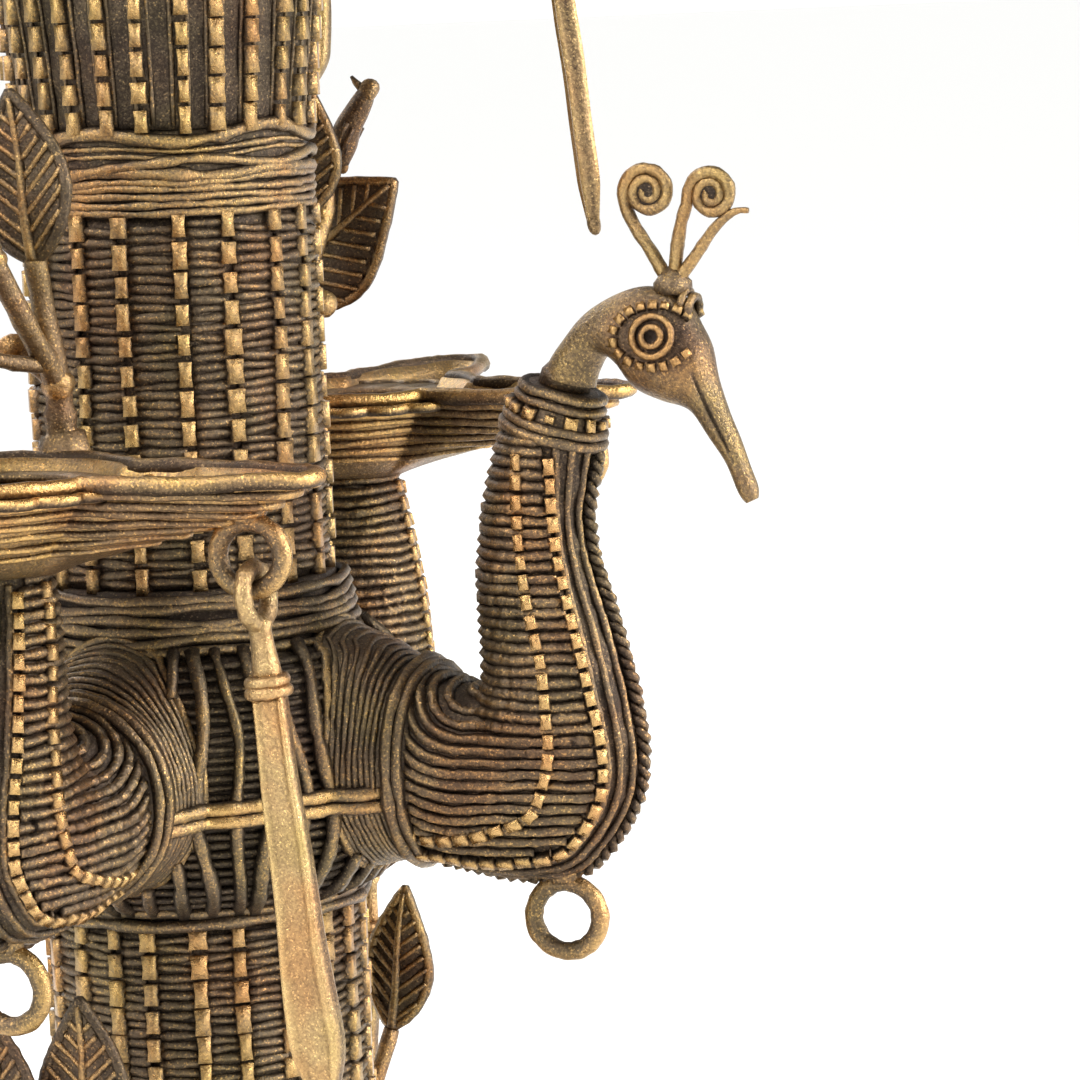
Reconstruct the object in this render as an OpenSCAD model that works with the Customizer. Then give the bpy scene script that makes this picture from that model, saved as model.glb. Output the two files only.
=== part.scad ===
// Standing oil lamp in wax-thread cast brass: a stacked trunk on a domed foot, two bellies with
// four arms each, boat-shaped oil bowls, branches with leaves and birds, hanging bar pendants,
// and a peacock on the crown bowl.
// Millimetres, +Z up, origin at the centre of the foot's resting face.
// The peacock arms run along X and the lamp arms along Y.

/* [Trunk] */
// Outside radius of the trunk below the lower belly
lower_trunk_r = 19.8; // [18.5:0.1:23]
// Outside radius of the trunk between the lower belly and the band
middle_trunk_r = 17.9; // [16.5:0.1:20]
// Outside radius at the top of the flared trunk
flare_r = 20.6; // [18:0.1:24]
// Outside radius of the trunk above the upper belly
top_trunk_r = 17.2; // [16:0.1:20]
// Bore of every trunk section
trunk_bore_r = 13; // [11:0.1:14]
// Height of the wire-wound band above the middle trunk
band_h = 10.7; // [8:0.1:14]
// Length of the middle trunk
middle_trunk_h = 46.5; // [38:0.5:60]
// Length of the top trunk
top_trunk_h = 42; // [30:1:60]
// Height of the lower belly's waist strip above the resting face
lower_tier_z = 178; // [165:1:200]
// Distance from the lower belly's waist to the upper belly's waist
tier_pitch = 152; // [148:1:175]

/* [Belly] */
// Radius of the belly at its waist strip
belly_r = 28; // [26:0.5:31]
// Wall of the belly shell
belly_wall = 3.5; // [2.5:0.1:4.5]
// Radius of the round boss that carries an arm
boss_r = 12; // [11:0.1:12.6]
// Distance from the lamp's axis to the arm's seat on its boss
arm_seat = 32; // [31:0.1:34]

/* [Arms and bowls] */
// Radius of the round tenon that holds an arm in its boss
tenon_r = 7.5; // [5:0.1:9]
// Height of a lamp arm's top above the waist strip
lamp_arm_top = 33.5; // [31:0.5:37]
// Wire radius of the eyelets
eyelet_wire_r = 1.2; // [0.9:0.1:1.5]
// Radius of the eyelet under a chest, at the wire's centre
chest_eyelet_r = 4.5; // [4:0.1:6]
// Radius of the eyelet under a spout, at the wire's centre
spout_eyelet_r = 4.1; // [3.8:0.1:4.6]
// Inside radius of a bowl at the rim
bowl_r = 16.5; // [14:0.5:18]
// Depth of a bowl, from the foot to the rim
bowl_h = 11.8; // [10:0.1:14]
// Distance from a bowl's centre to the tip of a spout
spout_reach = 42.5; // [38:0.5:46]
// Wall of a bowl
bowl_wall = 1.5; // [1.2:0.1:2]

/* [Pendants] */
// Length of a long pendant's bar below its collar
long_bar = 50; // [40:1:56]
// Length of a short pendant's bar below its collar
short_bar = 34; // [18:1:36]
// Inside radius of a pendant's loop
loop_r = 2.1; // [2:0.1:2.4]
// Wire radius of a pendant's loop
loop_wire_r = 1.1; // [0.9:0.05:1.2]
// Width of a pendant's bar at its widest
bar_w = 6.4; // [5:0.1:7.5]

/* [Foot and crown] */
// Radius of the foot's resting face
foot_r = 68; // [60:1:76]
// Height of the domed foot
foot_h = 42; // [36:1:50]
// Wall of the foot
foot_wall = 4; // [3:0.5:6]
// Rim radius of the crown bowl
crown_r = 34; // [28:1:40]
// Height of the crown bowl
crown_h = 17; // [15:0.5:20]
// Radius of the tie rod
rod_r = 4; // [3:0.1:5]

/* [Hidden] */

fit = 0.05;             // radial clearance of a seat, tenon or spigot
joint_gap = 0.05;       // face gap where two castings seat on each other
rod_slack = 0.3;        // radial clearance of the tie rod's holes
plate = 3;              // end plate at the bottom of a section
spigot_h = 5;           // spigot under a section
spigot_wall = 3;        // wall of a spigot
collar_h = 7;           // wire-wound collar on the foot
belly_low = -16.3;      // lower band's bottom edge, from the waist strip
belly_low_top = -13.1;  // lower band's top edge
belly_high = 18.5;      // upper band's bottom edge
belly_top = 26.6;       // upper band's top edge
belly_neck_r = 21.5;    // radius under the upper band
belly_root_r = 20.5;    // radius over the lower band
boss_z = 3;             // boss centre above the waist strip
flange_t = 1.4;         // rim round an arm's root
chest_x = 51;           // chest eyelet's distance from the axis
chest_eyelet_z = -16.5; // chest eyelet's centre above the waist strip
eyelet_root_r = 1.9;    // stub that joins an eyelet to its casting
bowl_x = 49;            // bowl foot's distance from the axis
cup_shift = 1.5;        // cup's centre, outwards from the bowl's foot
flange_drop = 2.4;      // flange's underside, below the bowl's rim
bowl_flange_t = 1.2;    // thickness of the bowl's flange
peg_r = 3;              // peg under a bowl's foot
peg_h = 5;              // length of that peg
spout_eyelet_x = 34;    // spout eyelet's distance from the bowl's centre
spout_eyelet_z = 2.4;   // spout eyelet's centre above the bowl's underside
collar_at = [52, 45.4]; // x and z of the peacock's neck collar
collar_tilt = 17;       // lean of the peacock's neck collar, degrees
head_pin_r = 2.4;       // pin that holds a head in its collar
crest_pin_r = 1.2;      // pin that holds a crest in its head
crest_at = 68.4;        // crest's distance from the axis
branch_y = 30;          // branch foot's distance from the axis
swing_gap = 0.35;       // slack between a pendant's loop and its eyelet

upper_tier_z = lower_tier_z + tier_pitch;
trunk_z0 = foot_h + collar_h;
foot_neck_r = lower_trunk_r + 5;
crown_z = upper_tier_z + belly_top + top_trunk_h;

// A body of elliptical slices. Each slice is [inner x, inner z, outer x, outer z, half width].
function slice_points(s, n) = [for (i = [0 : n - 1]) let (a = 360 * i / n) [
    (s[0] + s[2]) / 2 + (s[2] - s[0]) / 2 * cos(a),
    s[4] * sin(a),
    (s[1] + s[3]) / 2 + (s[3] - s[1]) / 2 * cos(a)]];

module sliced_body(slices, n = 16) {
    count = len(slices);
    points = [for (s = slices) each slice_points(s, n)];
    sides = [for (k = [0 : count - 2]) for (i = [0 : n - 1]) let (j = (i + 1) % n)
        each [[k * n + i, (k + 1) * n + j, k * n + j], [k * n + i, (k + 1) * n + i, (k + 1) * n + j]]];
    ends = [[for (i = [0 : n - 1]) i], [for (i = [n - 1 : -1 : 0]) (count - 1) * n + i]];
    polyhedron(points = points, faces = concat(sides, ends), convexity = 6);
}

// A round bar between two points.
module rod_between(a, b, r) {
    d = b - a;
    length = norm(d);
    translate(a) rotate([0, acos(d.z / length), atan2(d.y, d.x)]) cylinder(r = r, h = length, $fn = 24);
}

module torus(r, wire) {
    rotate_extrude($fn = 48) translate([r, 0]) circle(r = wire, $fn = 24);
}

// ---- trunk ----

// The hollow inside, end plate and spigot that every section from z0 to z1 shares.
module section_hollow(z0, z1) {
    translate([0, 0, z0 + plate]) cylinder(r = trunk_bore_r, h = z1 - z0, $fn = 64);
    translate([0, 0, z0 - spigot_h - 1]) cylinder(r = rod_r + rod_slack, h = plate + spigot_h + 2, $fn = 48);
}

module spigot(z0) {
    translate([0, 0, z0 - spigot_h]) difference() {
        cylinder(r = trunk_bore_r - fit, h = spigot_h, $fn = 64);
        translate([0, 0, -1]) cylinder(r = trunk_bore_r - spigot_wall, h = spigot_h + 1, $fn = 64);
    }
}

module section(z0, z1, r0, r1) {
    difference() {
        union() {
            translate([0, 0, z0 + joint_gap]) cylinder(r1 = r0, r2 = r1, h = z1 - z0 - joint_gap, $fn = 96);
            spigot(z0 + joint_gap);
        }
        section_hollow(z0, z1);
    }
}

// The dome's outline from its neck outwards. inset moves it in for the wall, and drop lowers it.
function dome_outline(inset, drop) = [for (t = [1 : 9]) [
    foot_neck_r + 1 - inset + (foot_r - 6 - foot_neck_r) * pow(t / 10, 1.9),
    foot_h - 5 - drop - (foot_h - 15) * sin(t * 9)]];

module base_foot() {
    rim_h = 6;
    color("darkgoldenrod") difference() {
        rotate_extrude($fn = 96) polygon(concat(
            [[0, foot_h], [foot_neck_r, foot_h], [foot_neck_r + 1, foot_h - 5]],
            dome_outline(0, 0),
            [[foot_r - 4, 9], [foot_r, rim_h], [foot_r, 0], [0, 0]]));
        rotate_extrude($fn = 96) polygon(concat(
            [[0, foot_h - foot_wall], [foot_neck_r - 3, foot_h - foot_wall]],
            dome_outline(4, foot_wall),
            [[foot_r - foot_wall - 4, 5], [foot_r - foot_wall - 3, -1], [0, -1]]));
        translate([0, 0, foot_h - foot_wall - 1])
            cylinder(r = rod_r + rod_slack, h = foot_wall + 2, $fn = 48);
    }
}

module base_collar() {
    color("darkgoldenrod") translate([0, 0, foot_h + joint_gap]) difference() {
        rotate_extrude($fn = 96) polygon([
            [0, 0], [lower_trunk_r + 4, 0], [lower_trunk_r + 4.6, 2], [lower_trunk_r + 2.6, 3.2],
            [lower_trunk_r + 3, 4.6], [lower_trunk_r + 1.2, collar_h - joint_gap],
            [0, collar_h - joint_gap]]);
        translate([0, 0, -1]) cylinder(r = trunk_bore_r, h = collar_h + 2, $fn = 64);
    }
}

module lower_trunk() {
    color("darkgoldenrod") section(trunk_z0, lower_tier_z + belly_low, lower_trunk_r, lower_trunk_r);
}

module middle_trunk() {
    z0 = lower_tier_z + belly_top;
    color("darkgoldenrod") section(z0, z0 + middle_trunk_h, middle_trunk_r, middle_trunk_r);
}

module trunk_band() {
    z0 = lower_tier_z + belly_top + middle_trunk_h;
    wave = 0.5;
    color("goldenrod") difference() {
        union() {
            translate([0, 0, z0 + joint_gap]) rotate_extrude($fn = 96) polygon([
                [0, 0], [middle_trunk_r + wave, 0], [middle_trunk_r + 2 * wave, 1],
                [middle_trunk_r + wave, 2.2],
                [middle_trunk_r + wave, 5.6], [middle_trunk_r + 2.4 * wave, 6.6],
                [middle_trunk_r + wave, 7.8], [middle_trunk_r + wave, band_h - joint_gap],
                [0, band_h - joint_gap]]);
            spigot(z0 + joint_gap);
        }
        section_hollow(z0, z0 + band_h);
    }
}

module flared_trunk() {
    z0 = lower_tier_z + belly_top + middle_trunk_h + band_h;
    z1 = upper_tier_z + belly_low;
    flare_z = z0 + 0.35 * (z1 - z0);
    color("darkgoldenrod") difference() {
        union() {
            translate([0, 0, z0 + joint_gap]) rotate_extrude($fn = 96) polygon([
                [0, 0], [middle_trunk_r + 0.2, 0], [flare_r - 0.4, flare_z - z0],
                [flare_r, z1 - z0 - joint_gap], [0, z1 - z0 - joint_gap]]);
            spigot(z0 + joint_gap);
        }
        section_hollow(z0, z1);
    }
}

module top_trunk() {
    z0 = upper_tier_z + belly_top;
    color("darkgoldenrod") section(z0, z0 + top_trunk_h, top_trunk_r, top_trunk_r);
}

// The belly's outline between its bands, from the waist strip.
function belly_outline(shrink) = concat(
    [for (t = [0 : 5]) let (a = 90 * t / 5)
        [belly_root_r - shrink + (belly_r - belly_root_r) * sin(a), belly_low_top * cos(a)]],
    [for (t = [1 : 5]) let (a = 90 * t / 5)
        [belly_neck_r - shrink + (belly_r - belly_neck_r) * cos(a), belly_high * sin(a)]]);

module belly(tier_z) {
    color("darkgoldenrod") translate([0, 0, tier_z]) difference() {
        union() {
            rotate_extrude($fn = 96) polygon(concat(
                [[0, belly_low + joint_gap], [belly_root_r - 0.3, belly_low + joint_gap]],
                belly_outline(0),
                [[19.6, belly_top], [0, belly_top]]));
            for (turn = [0 : 90 : 270]) rotate([0, 0, turn])
                translate([0, 0, boss_z]) rotate([0, 90, 0])
                    cylinder(r = boss_r, h = arm_seat - joint_gap, $fn = 64);
            spigot(belly_low + joint_gap);
        }
        rotate_extrude($fn = 96) polygon(concat(
            [[0, belly_low_top + 1.5], [15, belly_low_top + 1.5]],
            [for (p = belly_outline(belly_wall))
                if (p.y > belly_low_top + 2 && p.y < belly_high - 2) p],
            [[trunk_bore_r, belly_high], [0, belly_high]]));
        translate([0, 0, belly_high - 2])
            cylinder(r = trunk_bore_r, h = belly_top - belly_high + 3, $fn = 64);
        translate([0, 0, belly_low - spigot_h - 1])
            cylinder(r = rod_r + rod_slack, h = spigot_h + 8, $fn = 48);
        for (turn = [0 : 90 : 270]) rotate([0, 0, turn])
            translate([16, 0, boss_z]) rotate([0, 90, 0])
                cylinder(r = tenon_r + fit, h = arm_seat, $fn = 64);
    }
}

// ---- arms ----

// The chest and neck shared by all arms, up to the peacock's collar.
neck_slices = [
    [arm_seat + flange_t - 0.2, 15.2, arm_seat + flange_t - 0.2, -9.4, 10.8],
    [36.8, 13.6, 37.5, -9.9, 10.8],
    [39.6, 12.5, 42.8, -10.9, 10.5],
    [41.6, 12.4, 49, -11, 10],
    [42.2, 14, 55, -9, 9.5],
    [42.2, 17.3, 60, -2.5, 9],
    [42, 20.6, 61.8, 3.5, 8.6],
    [41.8, 24, 61.2, 11, 8.2],
    [41.9, 28.5, 58.8, 21, 7.6],
    [42.3, 32, 56.6, 28, 7]];
peacock_neck = [[43.1, 36.4, 55.8, 34.5, 6.6], [44.3, 40.8, 56.8, 39.6, 6.4], [46, 47, 58, 43.8, 6.2]];
lamp_neck = [[42.9, lamp_arm_top, 55.9, lamp_arm_top, 6.4]];

module arm_root() {
    translate([arm_seat, 0, boss_z]) rotate([0, 90, 0]) cylinder(r = boss_r + 0.8, h = flange_t, $fn = 64);
    translate([arm_seat - 7, 0, boss_z]) rotate([0, 90, 0]) cylinder(r = tenon_r, h = 8, $fn = 64);
}

// The eyelet stands in the plane across Y on every arm; turn is the arm's own direction.
module chest_eyelet(turn) {
    translate([chest_x, 0, chest_eyelet_z]) rotate([0, 0, -turn]) rotate([90, 0, 0])
        torus(chest_eyelet_r, eyelet_wire_r);
    translate([chest_x, 0, chest_eyelet_z + chest_eyelet_r - 0.3])
        cylinder(r = eyelet_root_r, h = 5, $fn = 32);
}

// Puts something on the axis of the peacock's neck collar, at a height along it.
module on_collar(height) {
    translate([collar_at.x, 0, collar_at.y]) rotate([0, collar_tilt, 0])
        translate([0, 0, height]) children();
}

module peacock_arm(tier_z, turn) {
    color("darkgoldenrod") translate([0, 0, tier_z]) rotate([0, 0, turn]) difference() {
        union() {
            arm_root();
            chest_eyelet(turn);
            sliced_body(concat(neck_slices, peacock_neck));
            on_collar(0) cylinder(r1 = 6.5, r2 = 5, h = 4.9, $fn = 48);
        }
        on_collar(1) cylinder(r = head_pin_r + fit, h = 8, $fn = 32);
    }
}

module lamp_arm(tier_z, turn) {
    color("darkgoldenrod") translate([0, 0, tier_z]) rotate([0, 0, turn]) difference() {
        union() {
            arm_root();
            chest_eyelet(turn);
            sliced_body(concat(neck_slices, lamp_neck));
        }
        translate([bowl_x, 0, lamp_arm_top - peg_h]) cylinder(r = peg_r + fit, h = peg_h + 1, $fn = 32);
    }
}

head_slices = [
    [50.9, 52.3, 57.6, 50.3, 3.4],
    [52.9, 55.1, 58.2, 52.4, 3.3],
    [55.8, 58.5, 59.4, 54.2, 3.4],
    [59.4, 61.2, 61.2, 53, 3.9],
    [62.8, 62.4, 63.4, 50.2, 4.4],
    [66.3, 62.6, 66.6, 48.6, 4.6],
    [69.6, 61.6, 69.2, 48, 4.2],
    [72.3, 57.4, 70.6, 47.2, 3.4],
    [74.2, 50.4, 71.9, 45.4, 2.4],
    [76.4, 44, 74.2, 41.6, 1.7],
    [78.2, 38.6, 76.2, 37.4, 1.3],
    [78.3, 36.8, 77.1, 36.2, 0.7]];

module peacock_head(tier_z, turn) {
    color("goldenrod") translate([0, 0, tier_z]) rotate([0, 0, turn]) difference() {
        union() {
            sliced_body(head_slices);
            on_collar(1.6) cylinder(r = head_pin_r, h = 6, $fn = 32);
            on_collar(4.95) cylinder(r = 4.2, h = 1.1, $fn = 32);
        }
        translate([crest_at, 0, 59]) cylinder(r = crest_pin_r + fit, h = 6, $fn = 32);
    }
}

module crest(tier_z, turn) {
    wire = 0.9;
    curl_r = 2.5;
    curls = [[65.8, 0, 74.4], [73.5, 0, 74.2]];
    foot = [crest_at, 0, 63.4];
    color("goldenrod") translate([0, 0, tier_z]) rotate([0, 0, turn]) {
        translate([crest_at, 0, 59.3]) cylinder(r = crest_pin_r, h = 5, $fn = 32);
        translate([crest_at, 0, 62.9]) cylinder(r1 = 2.1, r2 = 1.3, h = 1.8, $fn = 32);
        rod_between(foot, [63.2, 0, 72.4], wire);
        rod_between(foot, [70.2, 0, 73.2], wire);
        rod_between(foot, [76, 0, 71.2], wire);
        rod_between([75.6, 0, 71.4], [78.6, 0, 71.8], wire);
        for (c = curls) translate(c) rotate([90, 0, 0]) torus(curl_r, wire);
        for (c = curls) translate(c + [0, 0.7, 0]) rotate([90, 0, 0])
            cylinder(r = curl_r - 0.1, h = 1.4, $fn = 32);
    }
}

// ---- oil bowls ----

// One spout's solid: from the bowl's middle out to the tip. grow widens it for the outside of the wall.
module spout_form(grow, floor_z, top_z) {
    tip_x = spout_reach - 1.6 * (bowl_wall - grow);
    hull() {
        translate([0, 0, floor_z]) cylinder(r = 4 + grow, h = 0.5, $fn = 24);
        translate([12, -11 - grow, top_z - 0.5]) cube([0.5, 22 + 2 * grow, 0.5]);
        translate([tip_x - 0.5, -1.4 - grow, top_z - 0.5]) cube([0.5, 2.8 + 2 * grow, 0.5]);
        translate([tip_x - 3, -1 - grow, floor_z + 0.62 * (top_z - floor_z)]) cube([0.5, 2 + 2 * grow, 0.5]);
    }
}

module bowl(tier_z, turn) {
    z = tier_z + lamp_arm_top + joint_gap;
    color("goldenrod") translate([0, 0, z]) rotate([0, 0, turn]) translate([bowl_x, 0, 0]) difference() {
        union() {
            hull() {
                cylinder(r = 8, h = 0.5, $fn = 40);
                translate([cup_shift, 0, bowl_h - 0.5]) cylinder(r = bowl_r + bowl_wall, h = 0.5, $fn = 40);
            }
            for (a = [-90, 0, 90]) rotate([0, 0, a]) spout_form(bowl_wall, 1.2, bowl_h);
            translate([cup_shift, 0, bowl_h - flange_drop]) hull() {
                cylinder(r = bowl_r + 3.6, h = bowl_flange_t, $fn = 40);
                translate([-22.5, 0, 0]) cylinder(r = 4.5, h = bowl_flange_t, $fn = 24);
            }
            hull() {
                translate([0, 0, -peg_h + 0.3]) cylinder(r = peg_r, h = 1, $fn = 32);
                cylinder(r = peg_r, h = 1, $fn = 32);
            }
        }
        hull() {
            translate([0, 0, bowl_wall + 0.6]) cylinder(r = 6.5, h = 0.5, $fn = 40);
            translate([cup_shift, 0, bowl_h]) cylinder(r = bowl_r, h = 0.5, $fn = 40);
        }
        for (a = [-90, 0, 90]) rotate([0, 0, a]) spout_form(0, bowl_wall + 1.6, bowl_h + 0.3);
    }
}

// Eyelets under the two spouts that point along X. side is the lamp arm's direction, +1 or -1 along Y.
module spout_eyelets(tier_z, side) {
    z = tier_z + lamp_arm_top + spout_eyelet_z;
    color("goldenrod") for (x = [-spout_eyelet_x, spout_eyelet_x])
        translate([x, side * bowl_x, z]) rotate([90, 0, 0]) torus(spout_eyelet_r, eyelet_wire_r);
}

// ---- branches ----

// A pointed leaf standing in the XZ plane, with its stalk end at the origin.
module leaf(length, width) {
    translate([0, 0.6, 0]) rotate([90, 0, 0]) linear_extrude(1.2)
        polygon([for (t = [0 : 12]) [width / 2 * sin(180 * pow(t / 12, 0.8)), length * t / 12],
                 for (t = [11 : -1 : 1]) [-width / 2 * sin(180 * pow(t / 12, 0.8)), length * t / 12]]);
}

// Places on a bowl's branch, for the rear branch of a tier, from the tier's waist strip.
upright_leaf_at = [0, 35, 69.2];    // stalk end of the upright leaf
stem_elbow = [1.5, 42, 70];         // bend of the bird's stem
stem_top = [1.5, 43, 82];
knob_at = [5.2, 33, 58.5];          // knob on the short twig
bird_at = [4.6, 43, 80.2];          // the bird's middle
// Stalk end of the broad leaf, which leans out further on a front branch.
function broad_leaf_at(turn) = [turn == 0 ? -9.3 : 3.5, 45.5, 59];

module branch(tier_z, turn) {
    foot = [0, branch_y, lamp_arm_top + 2 * joint_gap + bowl_h - flange_drop + bowl_flange_t];
    fork = [0, branch_y + 1, 54];
    color("saddlebrown") translate([0, 0, tier_z]) rotate([0, 0, turn]) {
        translate(foot) cylinder(r1 = 2.6, r2 = 2, h = 4, $fn = 32);
        rod_between(foot + [0, 0, 2], fork, 1.9);
        translate(fork) sphere(r = 2, $fn = 32);
        rod_between(fork, upright_leaf_at - [0, 0, 0.3], 1.4);
        rod_between(fork, stem_elbow, 1.4);
        translate(stem_elbow) sphere(r = 1.45, $fn = 32);
        rod_between(stem_elbow, stem_top, 1.2);
        rod_between(fork, knob_at, 1.1);
        translate(knob_at) sphere(r = 1.8, $fn = 32);
        rod_between([0.3, 32.6, 56.6], broad_leaf_at(turn) + [0.2, -1, 0], 1);
    }
}

module leaves(tier_z, turn) {
    color("darkkhaki") translate([0, 0, tier_z]) rotate([0, 0, turn]) {
        translate(upright_leaf_at) rotate([0, 6, 0]) leaf(20.5, 12);
        translate(broad_leaf_at(turn)) rotate([0, 53, 0]) leaf(25, 16.5);
    }
}

module bird(tier_z, turn) {
    color("sienna") translate([0, 0, tier_z]) rotate([0, 0, turn]) translate(bird_at) {
        sliced_body([[-0.6, -3.8, 0.6, -3.6, 0.7], [-1.6, -2, 1.6, -1.6, 1.5], [-1.6, 1.4, 2.6, 0.8, 1.6],
                     [0.6, 4.4, 3.8, 3, 1.5], [2.6, 6.6, 4.8, 5.4, 1.3], [3.4, 7.6, 4.6, 8, 0.6]], 12);
    }
}

// Branches that stand out from the lower trunk, with places from their root on the axis's height.
trunk_branch_drop = 76;             // root's depth below the lower waist strip
trunk_leaf_at = [0, 34.4, 33.2];    // stalk end of the upright leaf
trunk_side_leaf_at = [7.6, 39, 33]; // stalk end of the leaning leaf

module trunk_branch(turn) {
    root = [0, lower_trunk_r + 0.15, 0];
    elbow = [0, 34.4, 10];
    color("saddlebrown") translate([0, 0, lower_tier_z - trunk_branch_drop]) rotate([0, 0, turn]) {
        translate(root) rotate([-90, 0, 0]) cylinder(r1 = 4, r2 = 1.8, h = 3.2, $fn = 32);
        rod_between(root + [0, 2.4, 0], elbow, 1.6);
        translate(elbow) sphere(r = 1.7, $fn = 32);
        rod_between(elbow, trunk_leaf_at - [0, 0, 0.3], 1.4);
        rod_between(elbow, trunk_side_leaf_at - [0.2, 0, 0.4], 1.2);
    }
}

module trunk_leaves(turn) {
    color("darkkhaki") translate([0, 0, lower_tier_z - trunk_branch_drop]) rotate([0, 0, turn]) {
        translate(trunk_leaf_at) leaf(21, 11.5);
        translate(trunk_side_leaf_at) rotate([0, 8, 0]) leaf(20, 9);
    }
}

// ---- pendants ----

// A pendant hanging from an eyelet whose centre is at the origin, in the plane across Y.
// slant turns it round the eyelet, so its loop rides up the wire.
// twist turns the flat bar about its own length.
module pendant(eyelet_r, slant, bar, twist = 0) {
    wire_z = -eyelet_r;
    loop_z = wire_z + eyelet_wire_r + swing_gap - loop_r;
    neck_z = loop_z - loop_r - 2 * loop_wire_r + 0.5;
    collar_z = neck_z - 6.5;
    bar_z = collar_z - 1.6;
    color("darkgoldenrod") rotate([0, slant, 0]) {
        translate([0, 0, loop_z]) rotate([0, 90, 0]) torus(loop_r + loop_wire_r, loop_wire_r);
        translate([0, 0, collar_z]) cylinder(r1 = 1.9, r2 = 1.3, h = 6.5, $fn = 32);
        translate([0, 0, bar_z]) cylinder(r = 2.6, h = 2.2, $fn = 32);
        translate([0, 0, bar_z]) rotate([0, 0, twist]) hull() {
            translate([-2.1, -0.9, 0]) cube([4.2, 1.8, 0.1]);
            translate([-bar_w / 2, -1, -bar + 9]) cube([bar_w, 2, 0.1]);
            translate([-0.6, -1.5, -bar + 12]) cube([1.2, 3, 0.1]);
            translate([-0.7, -0.6, -bar]) cube([1.4, 1.2, 0.1]);
        }
    }
}

module front_spout_pendant() {
    translate([spout_eyelet_x, -bowl_x, lower_tier_z + lamp_arm_top + spout_eyelet_z])
        pendant(spout_eyelet_r, -5.6, long_bar);
}

module rear_spout_pendant() {
    translate([-spout_eyelet_x, bowl_x, lower_tier_z + lamp_arm_top + spout_eyelet_z])
        pendant(spout_eyelet_r, 5.6, long_bar);
}

module rear_chest_pendant() {
    translate([0, chest_x, lower_tier_z + chest_eyelet_z]) pendant(chest_eyelet_r, 5.6, long_bar);
}

module right_peacock_pendant() {
    translate([chest_x, 0, upper_tier_z + chest_eyelet_z]) pendant(chest_eyelet_r, -6.5, long_bar, -62);
}

module left_peacock_pendant() {
    translate([-chest_x, 0, upper_tier_z + chest_eyelet_z]) pendant(chest_eyelet_r, 6.5, long_bar);
}

module upper_rear_pendant() {
    translate([0, chest_x, upper_tier_z + chest_eyelet_z]) pendant(chest_eyelet_r, 5.6, short_bar);
}

// ---- crown ----

finial_seat = 9;        // height of the finial's seat in the crown bowl

module crown_bowl() {
    color("goldenrod") translate([0, 0, crown_z + joint_gap]) difference() {
        union() {
            rotate_extrude($fn = 96) polygon([
                [0, 0], [top_trunk_r + 1, 0], [top_trunk_r + 2, 2], [top_trunk_r + 0.5, 4],
                [crown_r - 6, 9], [crown_r, crown_h], [crown_r - 2.4, crown_h], [crown_r - 8, 11],
                [14, 6.5], [9, 6.5], [9, finial_seat], [0, finial_seat]]);
            spigot(0);
        }
        translate([0, 0, -spigot_h - 1])
            cylinder(r = rod_r + rod_slack, h = spigot_h + crown_h, $fn = 48);
    }
}

finial_slices = [
    [-7, 20.5, -6, 16.5, 4],
    [-2, 24.5, -1.5, 13.2, 6.4],
    [3, 26, 4.5, 12.6, 7.2],
    [6, 28, 10, 17, 6],
    [6.6, 32, 12, 24, 4.6],
    [6, 38, 11, 34, 3.6],
    [6.4, 43, 11, 41, 3.4],
    [8, 47.6, 12.4, 42.6, 3.6],
    [12, 49.4, 13.6, 41.4, 3.8],
    [16, 45.4, 15, 40.6, 2.4],
    [19.4, 40, 18.2, 38.8, 1]];

module finial_peacock() {
    color("goldenrod") translate([0, 0, crown_z + finial_seat + 2 * joint_gap]) difference() {
        union() {
            rotate_extrude($fn = 64) polygon([
                [0, 0], [8, 0], [8, 2], [4.8, 5], [6, 9], [7.5, 14.4], [0, 14.4]]);
            sliced_body(finial_slices);
            translate([-5.5, 0, 16]) rotate([0, -62, 0]) translate([0, 0, 2])
                cylinder(r1 = 4, r2 = 1.6, h = 22, $fn = 32);
        }
        translate([0, 0, -1]) cylinder(r = rod_r + fit, h = 13, $fn = 48);
    }
}

// ---- core ----

module tie_rod() {
    z0 = foot_h - foot_wall - 14;
    z1 = crown_z + finial_seat + 11;
    color("silver") translate([0, 0, z0]) cylinder(r = rod_r, h = z1 - z0, $fn = 48);
}

module base_washer() {
    color("silver") translate([0, 0, foot_h - foot_wall - 1.7]) difference() {
        cylinder(r = 11, h = 1.6, $fn = 48);
        translate([0, 0, -1]) cylinder(r = rod_r + fit, h = 4, $fn = 48);
    }
}

module base_nut() {
    color("silver") translate([0, 0, foot_h - foot_wall - 8.3]) difference() {
        cylinder(r = 7.5, h = 6.5, $fn = 6);
        translate([0, 0, -1]) cylinder(r = rod_r + fit, h = 9, $fn = 48);
    }
}

base_foot();
base_collar();
lower_trunk();
belly(lower_tier_z);  // lower_belly
middle_trunk();
trunk_band();
flared_trunk();
belly(upper_tier_z);  // upper_belly
top_trunk();
crown_bowl();
finial_peacock();
tie_rod();
base_washer();
base_nut();
peacock_arm(lower_tier_z, 0);  // lower_right_peacock_arm
peacock_arm(lower_tier_z, 180);  // lower_left_peacock_arm
peacock_arm(upper_tier_z, 0);  // upper_right_peacock_arm
peacock_arm(upper_tier_z, 180);  // upper_left_peacock_arm
peacock_head(lower_tier_z, 0);  // lower_right_peacock_head
peacock_head(lower_tier_z, 180);  // lower_left_peacock_head
peacock_head(upper_tier_z, 0);  // upper_right_peacock_head
peacock_head(upper_tier_z, 180);  // upper_left_peacock_head
crest(lower_tier_z, 0);  // lower_right_crest
crest(lower_tier_z, 180);  // lower_left_crest
crest(upper_tier_z, 0);  // upper_right_crest
crest(upper_tier_z, 180);  // upper_left_crest
lamp_arm(lower_tier_z, -90);  // lower_front_lamp_arm
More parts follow.
